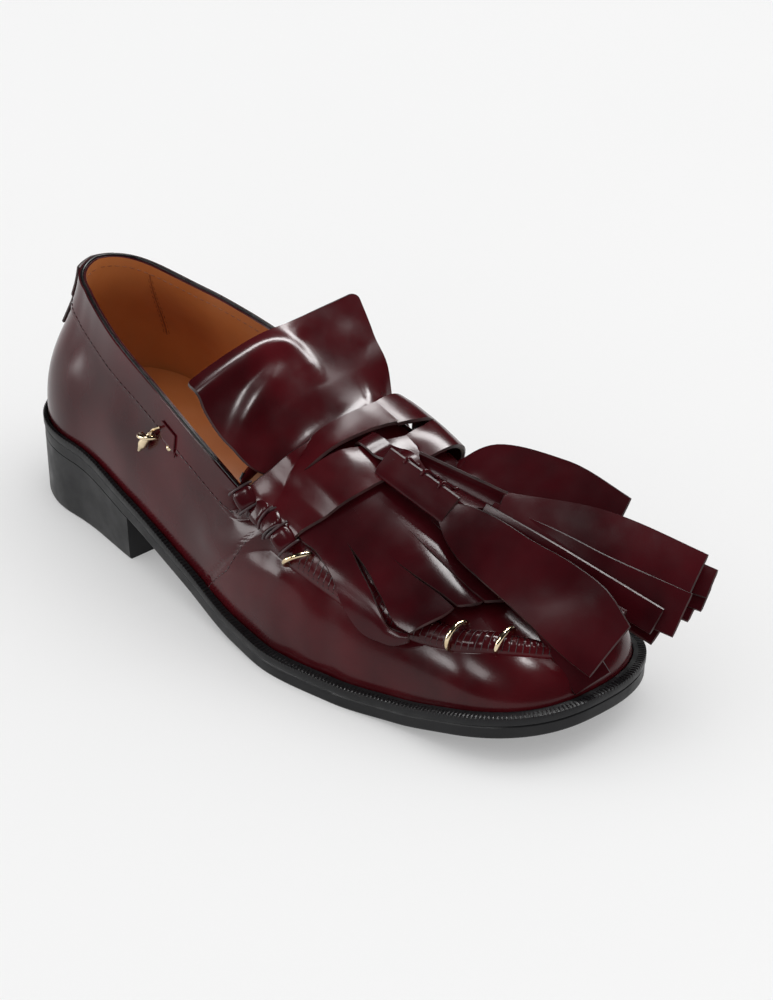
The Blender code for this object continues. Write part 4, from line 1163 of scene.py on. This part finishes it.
tasselStrips = {  # each at the head, half way and at the tip
    "frontUnder": {"x": [201.5, 236.0, 263.0], "y": [-0.5, -1.5, -0.6], "z": [57.0, 46.2, 24.4],
                   "width": [8.0, 13.0, 13.0], "tilt": [25.0, 33.0, 34.0], "crown": [1.0, 1.0, 0.5]},
    "middle": {"x": [204.5, 234.0, 258.0], "y": [5.5, 11.0, 17.0], "z": [58.0, 48.5, 40.0],
               "width": [9.0, 12.0, 13.0], "tilt": [0.0, 5.0, 10.0], "crown": [0.5, 0.5, 0.5]},
    "backTop": {"x": [207.0, 237.0, 268.5], "y": [11.0, 27.5, 41.0], "z": [61.6, 57.0, 50.5],
                "width": [11.0, 18.0, 15.0], "tilt": [28.0, 32.0, 40.0], "crown": [0.4, 0.5, 0.4]},
    "backFront": {"x": [205.0, 237.0, 271.0], "y": [7.8, 17.0, 31.5], "z": [60.2, 49.5, 40.5],
                  "width": [7.0, 15.0, 15.0], "tilt": [40.0, 56.0, 54.0], "crown": [0.5, 0.5, 0.5]},
    "backUnder": {"x": [207.0, 239.0, 270.5], "y": [11.0, 31.0, 45.5], "z": [57.8, 52.0, 46.4],
                  "width": [9.0, 14.0, 9.5], "tilt": [0.0, 20.0, 45.0], "crown": [0.5, 1.0, 0.5]},
    "backThird": {"x": [206.5, 238.0, 270.0], "y": [10.0, 28.0, 43.5], "z": [57.2, 49.5, 41.4],
                  "width": [8.0, 12.0, 8.5], "tilt": [0.0, 22.0, 50.0], "crown": [0.5, 0.8, 0.3]},
    "backFourth": {"x": [206.0, 237.0, 268.0], "y": [9.5, 25.5, 40.0], "z": [56.6, 47.2, 38.0],
                   "width": [8.0, 12.0, 9.0], "tilt": [0.0, 18.0, 40.0], "crown": [0.5, 0.6, 0.3]},
    "edgeOn": {"x": [204.5, 236.0, 266.5], "y": [5.0, 13.0, 24.5], "z": [60.0, 51.0, 39.0],
               "width": [7.0, 9.0, 9.0], "tilt": [60.0, 70.0, 66.0], "crown": [0.3, 0.4, 0.2]},
    "backLow": {"x": [206.0, 234.0, 263.5], "y": [8.5, 20.0, 31.0], "z": [56.3, 44.5, 33.5],
                "width": [8.0, 15.0, 16.0], "tilt": [0.0, 12.0, 28.0], "crown": [0.5, 0.5, 0.5]},
}


def headPoint(share, offset):
    h = tasselHead
    middle = np.array(h["start"]) + (np.array(h["end"]) - np.array(h["start"])) * share
    y, z = offset
    return middle + np.array([h["slant"] * y, y, z])


def headSection(share, count, inset=0.0):
    h = tasselHead
    line = np.array(h["startSection"]) * (1 - share) + np.array(h["endSection"]) * share
    line = along(line, count)
    return line * (1 - inset / np.linalg.norm(line, axis=1).max())


def edgeStrip(table):
    steps, across = table["steps"], table["across"]
    left, right = along(table["left"], steps), along(table["right"], steps)
    u = np.linspace(-1, 1, across)[None, :, None]
    grid = left[:, None] * (1 - u) / 2 + right[:, None] * (1 + u) / 2
    run = unit(np.gradient((left + right) / 2, axis=0))
    top = unit(np.cross(unit(left - right), run))
    top = top * np.sign(top[:, 2:3])
    crown = np.interp(np.linspace(0, 1, steps), np.linspace(0, 1, len(table["crown"])), table["crown"])
    grid = grid + top[:, None] * crown[:, None, None] * (1 - u * u)
    return skin(grid.reshape(-1, 3), gridFaces(steps, across), table["thick"], -table["thick"] / 2, (0, 0, 1))


def makeLoop():
    t = tasselLoop
    grid = []
    for (x, lift), start, end in zip(t["spots"], t["from"], t["to"]):
        grid.append([onVamp(x, y, lift) for y in np.linspace(start, end, t["columns"])])
    grid = smoothRows(grid, t["rows"])
    mesh = skin(grid.reshape(-1, 3), gridFaces(t["rows"], t["columns"]), t["thick"], up=(0, 0, 1))
    addPiece("tasselTab", mesh, [oxbloodTrim, rawEdge], ["tassel_loop"])


def makeHead():
    h = tasselHead
    shares = np.linspace(0, 1, h["rows"])
    points = np.array([headPoint(k, p) for k in shares for p in headSection(k, h["columns"])])
    faces = gridFaces(h["rows"], h["columns"])
    if float(((points - points.mean(0)) * pointNormals(points, faces)).sum()) < 0:
        faces = [f[::-1] for f in faces]
    sleeve = skin(points, faces, h["thick"], -h["thick"])
    addPiece("tasselHead", sleeve, [oxbloodTrim, rawEdge], ["tassel_wrap"])
    lacing = []
    for k in range(h["laces"]):
        at = h["laceFrom"] + h["lacePitch"] * k
        ridge = headSection(at, h["columns"])[0]
        line = headSection(at, 31, h["laceInset"])
        low = line[0] * (1 - h["laceAcross"]) + line[25] * h["laceAcross"] + [0, 0.25]
        path = [headPoint(at + 0.02, ridge + [-1.0, -0.7]), headPoint(at + 0.01, ridge + [0.35, 0.55])]
        path.append(headPoint(at, low))
        lacing.append(tube(along(path, 13), h["thread"], 8))
        knot = [headPoint(at + step, low + [0, 0.15]) for step in (-0.03, -0.012, 0.012, 0.03)]
        lacing.append(tube(along(knot, len(h["knot"])), h["thread"] * np.array(h["knot"]), 10))
    addPiece("headLacing", join(lacing), [oxbloodTrim])


def makeFringe():
    rise = tasselHead["coreLid"]
    rings = []
    for share, inset in tasselHead["core"]:
        line = headSection(min(share, 1), 31, inset)[:26]
        left, right = line[0], line[-1]
        lid = []
        for k in range(1, 12):
            lid.append(right + (left - right) * k / 12 + [0, rise * math.sin(math.pi * k / 12)])
        rings.append([headPoint(share, p - [0, rise]) for p in list(line) + lid])
    count = len(rings[0])
    core = np.array(rings).reshape(-1, 3)
    parts = [(core, ringFaces(len(rings), count) + capFaces(len(rings), count)), edgeStrip(tasselFront)]
    f = tasselFront
    for table in tasselStrips.values():
        parts.append(stripMesh({"at": [0.0, 0.5, 1.0], **table}, f["thick"], f["steps"], f["across"]))
    addPiece("tasselFringe", join(parts), [oxbloodTrim, rawEdge], ["tassel_fringe"])


makeLoop()
makeHead()
makeFringe()
print("tassel made")

# Whipped rolls at the strap's ends
rollShape = {
    "at": [0.0, 0.33, 0.66, 1.0], "around": [0.500, 0.530, 0.558, 0.590], "level": [0.86, 0.52, 0.44, 0.42],
    "lobes": 4, "long": 0.53, "wide": 4.7, "endWide": 0.86, "high": 3.2, "square": 0.62, "lift": 2.0,
    "lean": 0.22, "lace": 0.5, "laceApart": 0.98, "laceWide": 1.02, "laceHigh": 0.86, "laceArc": (0.12, 0.88),
}


def lobe(middle, frameAxes, sizes, square):
    theta = np.linspace(-math.pi / 2, math.pi / 2, 17)[:, None]
    phi = np.linspace(0, 2 * math.pi, 28, endpoint=False)[None, :]

    def bent(v):
        return np.sign(v) * np.abs(v) ** square

    wide = bent(np.cos(theta))
    grid = np.stack([wide * bent(np.cos(phi)), wide * bent(np.sin(phi)), bent(np.sin(theta)) + 0 * phi], -1)
    points = middle + (grid * sizes) @ np.array(frameAxes)
    return weld(points.reshape(-1, 3), ringFaces(17, 28))


def makeRoll(side, name, node):
    r = rollShape
    at = np.linspace(0, 1, 41)
    around = column(r, "at", "around", at)
    level = column(r, "at", "level", at)
    up = upperNormal(side, around, level)
    for _ in range(12):
        up[1:-1] = unit(up[:-2] + 2 * up[1:-1] + up[2:])
    line = onFace(side, around, level, 0.0) + up * r["lift"]
    walk = walked(line)
    pitch = walk[-1] / r["lobes"]
    turns = np.linspace(r["laceArc"][0] * math.pi, r["laceArc"][1] * math.pi, 19)
    parts = []
    for k in range(r["lobes"]):
        spot = readLine(pitch * (k + 0.5), walk, line)
        run = unit(readLine(pitch * (k + 0.7), walk, line) - spot)
        rise = readLine(pitch * (k + 0.5), walk, up)
        rise = unit(rise - run * float(rise @ run))
        lean = unit(run + np.cross(rise, run) * r["lean"] * side)
        aside = np.cross(rise, lean)
        wide = r["wide"] * (r["endWide"] if k in (0, r["lobes"] - 1) else 1.0)
        sizes = np.array([pitch * r["long"], wide, r["high"]])
        parts.append(lobe(spot, (lean, aside, rise), sizes, r["square"]))
        for shift in (-0.5, 0.5):  # lace threads laid beside each lobe
            middle = spot + lean * (shift * pitch * r["laceApart"])
            ring = []
            for a in turns:
                over = aside * math.cos(a) * r["wide"] * r["laceWide"]
                ring.append(middle + (over + rise * math.sin(a) * r["high"] * r["laceHigh"]))
            points, faces = tube(ring, r["lace"], 8, lean)
            parts.append((points, faces, [1] * len(faces)))
    addPiece(name, join(parts), [oxbloodTrim, redThread], [node], 60)


makeRoll(-1, "outerRoll", "roll_outer")
makeRoll(1, "innerRoll", "roll_inner")

# Metal hoops
hoops = {
    "wire": 0.9, "lift": 0.55,
    "rows": [  # piece, node, side, then around and level of the lower and the upper foot
        ("outerHoop", "hoop_outer", -1, (0.586, 0.350), (0.613, 0.440)),
        ("innerHoop", "hoop_inner", 1, (0.586, 0.350), (0.613, 0.440)),
        ("toeHoopBack", "hoop_toe_back", -1, (0.801, 0.420), (0.811, 0.605)),
        ("toeHoopFront", "hoop_toe_front", -1, (0.860, 0.520), (0.885, 0.700)),
        ("sideHoop", "hoop_side", -1, (0.322, 0.600), (0.346, 0.700)),
    ],
}


def makeHoops():
    taper = np.concatenate([[0.7, 0.95], np.ones(29), [0.95, 0.7]])
    turns = np.linspace(0, math.pi, len(taper))
    for name, node, side, low, high in hoops["rows"]:
        at, level = np.array([low, high]).T
        ends = onFace(side, at, level, hoops["lift"])
        out = upperNormal(side, at, level).sum(0)
        radius = np.linalg.norm(ends[1] - ends[0]) / 2
        chord = unit(ends[1] - ends[0])
        out = unit(out - chord * float(out @ chord))
        middle = ends.mean(0)
        path = [middle + (-chord * math.cos(a) + out * math.sin(a)) * radius for a in turns]
        ring = tube(path, hoops["wire"] * taper, 14, np.cross(chord, out))
        addPiece(name, ring, [goldMetal], [node], 60)


makeHoops()
print("rolls and hoops made")

# Back strip and side tab
backStrip = {"half": 0.045, "low": 0.52, "high": 0.985, "lift": 0.4, "thick": 1.2}
sideTab = {
    "from": 0.354, "to": 0.378, "low": 0.70, "high": 0.88, "lift": 0.12, "thick": 0.6,
    "stud": (0.3687, 0.735), "studRadius": 1.25,
    "studProfile": [(-0.5, 1.0), (0.1, 1.0), (0.25, 0.92), (0.25, 0.78), (0.55, 0.62), (0.75, 0.34),
                    (0.8, 0.05)],
}
sideDrop = {
    "line": [(0.3560, 0.845), (0.3440, 0.760), (0.3367, 0.679), (0.3300, 0.590), (0.3245, 0.510),
             (0.3201, 0.446)],
    "radius": [0.45, 0.5, 0.6, 1.5, 1.75, 0.5], "lift": 1.5,
}


def patch(places, levels, lift, thick):
    grid = [onFace(side, around, levels, lift) for side, around in places]
    side, around = places[len(places) // 2]
    out = upperNormal(side, max(around, 0.004), levels[0])
    return skin(np.concatenate(grid), gridFaces(len(places), len(levels)), thick, up=out)


def makePatches():
    b = backStrip
    steps = np.linspace(0, b["half"], 13)
    places = [(1.0, a) for a in steps[:0:-1]] + [(-1.0, a) for a in steps]
    mesh = patch(places, np.linspace(b["low"], b["high"], 40), b["lift"], b["thick"])
    addPiece("backStrip", mesh, [oxblood, rawEdge], ["back_strip"])
    t = sideTab
    places = [(-1.0, a) for a in np.linspace(t["from"], t["to"], 13)]
    mesh = patch(places, np.linspace(t["low"], t["high"], 20), t["lift"], t["thick"])
    addPiece("sideTab", mesh, [oxblood, oxblood], ["side_tab"])
    spot = onFace(-1, *t["stud"], t["lift"] + t["thick"])
    out = upperNormal(-1, *t["stud"])
    heights, widths = np.array(t["studProfile"]).T * t["studRadius"]
    stud = tube([spot + out * h for h in heights], widths, 20, (1, 0, 0))
    path = np.array([onFace(-1, a, v, sideDrop["lift"]) for a, v in sideDrop["line"]])
    radius = np.interp(np.linspace(0, 1, 31), np.linspace(0, 1, len(path)), sideDrop["radius"])
    addPiece("sideDrop", join([tube(along(path, 31), radius, 14), stud]), [goldMetal])


makePatches()
print("back strip and side tab made")

# Floor, light and camera
stageLook = {
    "floor": (0.60, 0.60, 0.60), "glow": 0.275, "reach": 6.0, "world": 0.90, "reflected": 0.015,
}
camera = {
    "from": (1.12722, -0.90736, 0.82456), "to": (0.11589, 0.01179, 0.040), "lens": 168.48, "sensor": 36.0,
}
panelTarget = (0.10, 0.0, 0.05)
lights = [  # a panel that casts falls on faces only, and the others are seen in the gloss only
    {"name": "overheadPanel", "at": (0.45, 0.55, 1.85), "to": (0.10, 0.0, 0.04), "size": (1.7, 1.7),
     "power": 9.0, "cast": True},
    {"name": "leftPanel", "at": (0.0, -1.31, 1.20), "size": (0.5, 0.45), "power": 7.8},
    {"name": "lowPanel", "at": (-0.62, -0.66, 0.16), "size": (0.55, 0.26), "power": 3.6},
    {"name": "sidePanel", "at": (-0.45, -1.07, 0.53), "size": (0.28, 0.22), "power": 2.9},
    {"name": "rearPanel", "at": (0.28, 0.90, 1.25), "size": (0.25, 0.25), "power": 1.4},
    {"name": "rearStrip", "at": (-0.05, 0.90, 1.235), "size": (0.32, 1.24), "power": 38.0, "roll": -34},
    {"name": "topPanel", "at": (0.40, 0.15, 1.51), "size": (0.2, 0.2), "power": 5.4},
]


def aim(thing, place, target, roll=0.0):
    thing.location = place
    turn = (Vector(target) - Vector(place)).to_track_quat("-Z", "Y")
    thing.rotation_euler = (turn @ Quaternion((0, 0, 1), math.radians(roll))).to_euler()


def makeFloor():
    far = stageLook["reach"]
    data = bpy.data.meshes.new("floor")
    data.from_pydata([(-far, -far, 0), (far, -far, 0), (far, far, 0), (-far, far, 0)], [], [[0, 1, 2, 3]])
    floor = bpy.data.objects.new("floor", data)
    bpy.context.scene.collection.objects.link(floor)
    look = {"deep": stageLook["floor"], "warm": tuple(c * 1.02 for c in stageLook["floor"])}
    pale = finish("paleFloor", {**look, "rough": 0.6, "shine": 0.0, "cloud": 3.0, "grain": (400.0, 0.01)})
    shader = pale.node_tree.nodes["Principled BSDF"]
    shader.inputs["Emission Color"].default_value = (1, 1, 1, 1)
    shader.inputs["Emission Strength"].default_value = stageLook["glow"]  # lifts the shadows
    data.materials.append(pale)


def makeWorld():
    world = bpy.data.worlds.new("studio")
    world.use_nodes = True
    tree = world.node_tree
    back = tree.nodes["Background"]
    back.inputs["Color"].default_value = (1, 1, 1, 1)
    path = tree.nodes.new("ShaderNodeLightPath")
    strength = tree.nodes.new("ShaderNodeMapRange")  # dim in the gloss, so that the panels show
    strength.inputs["To Min"].default_value = stageLook["world"]
    strength.inputs["To Max"].default_value = stageLook["reflected"]
    tree.links.new(path.outputs["Is Glossy Ray"], strength.inputs["Value"])
    tree.links.new(strength.outputs["Result"], back.inputs["Strength"])
    bpy.context.scene.world = world


def makeLights():
    for row in lights:
        lamp = bpy.data.lights.new(row["name"], "AREA")
        lamp.shape = "RECTANGLE"
        lamp.size, lamp.size_y = row["size"]
        lamp.energy = row["power"]
        thing = bpy.data.objects.new(row["name"], lamp)
        thing.visible_diffuse = row.get("cast", False)
        thing.visible_glossy = not row.get("cast", False)
        bpy.context.scene.collection.objects.link(thing)
        aim(thing, row["at"], row.get("to", panelTarget), row.get("roll", 0.0))


def makeCamera():
    scene = bpy.context.scene
    eye = bpy.data.cameras.new("camera")
    eye.lens = camera["lens"]
    eye.sensor_width = camera["sensor"]
    thing = bpy.data.objects.new("camera", eye)
    scene.collection.objects.link(thing)
    aim(thing, camera["from"], camera["to"])
    scene.camera = thing
    scene.view_settings.view_transform = "Standard"


makeFloor()
makeWorld()
makeLights()
makeCamera()
bpy.context.view_layer.update()
print("stage ready")
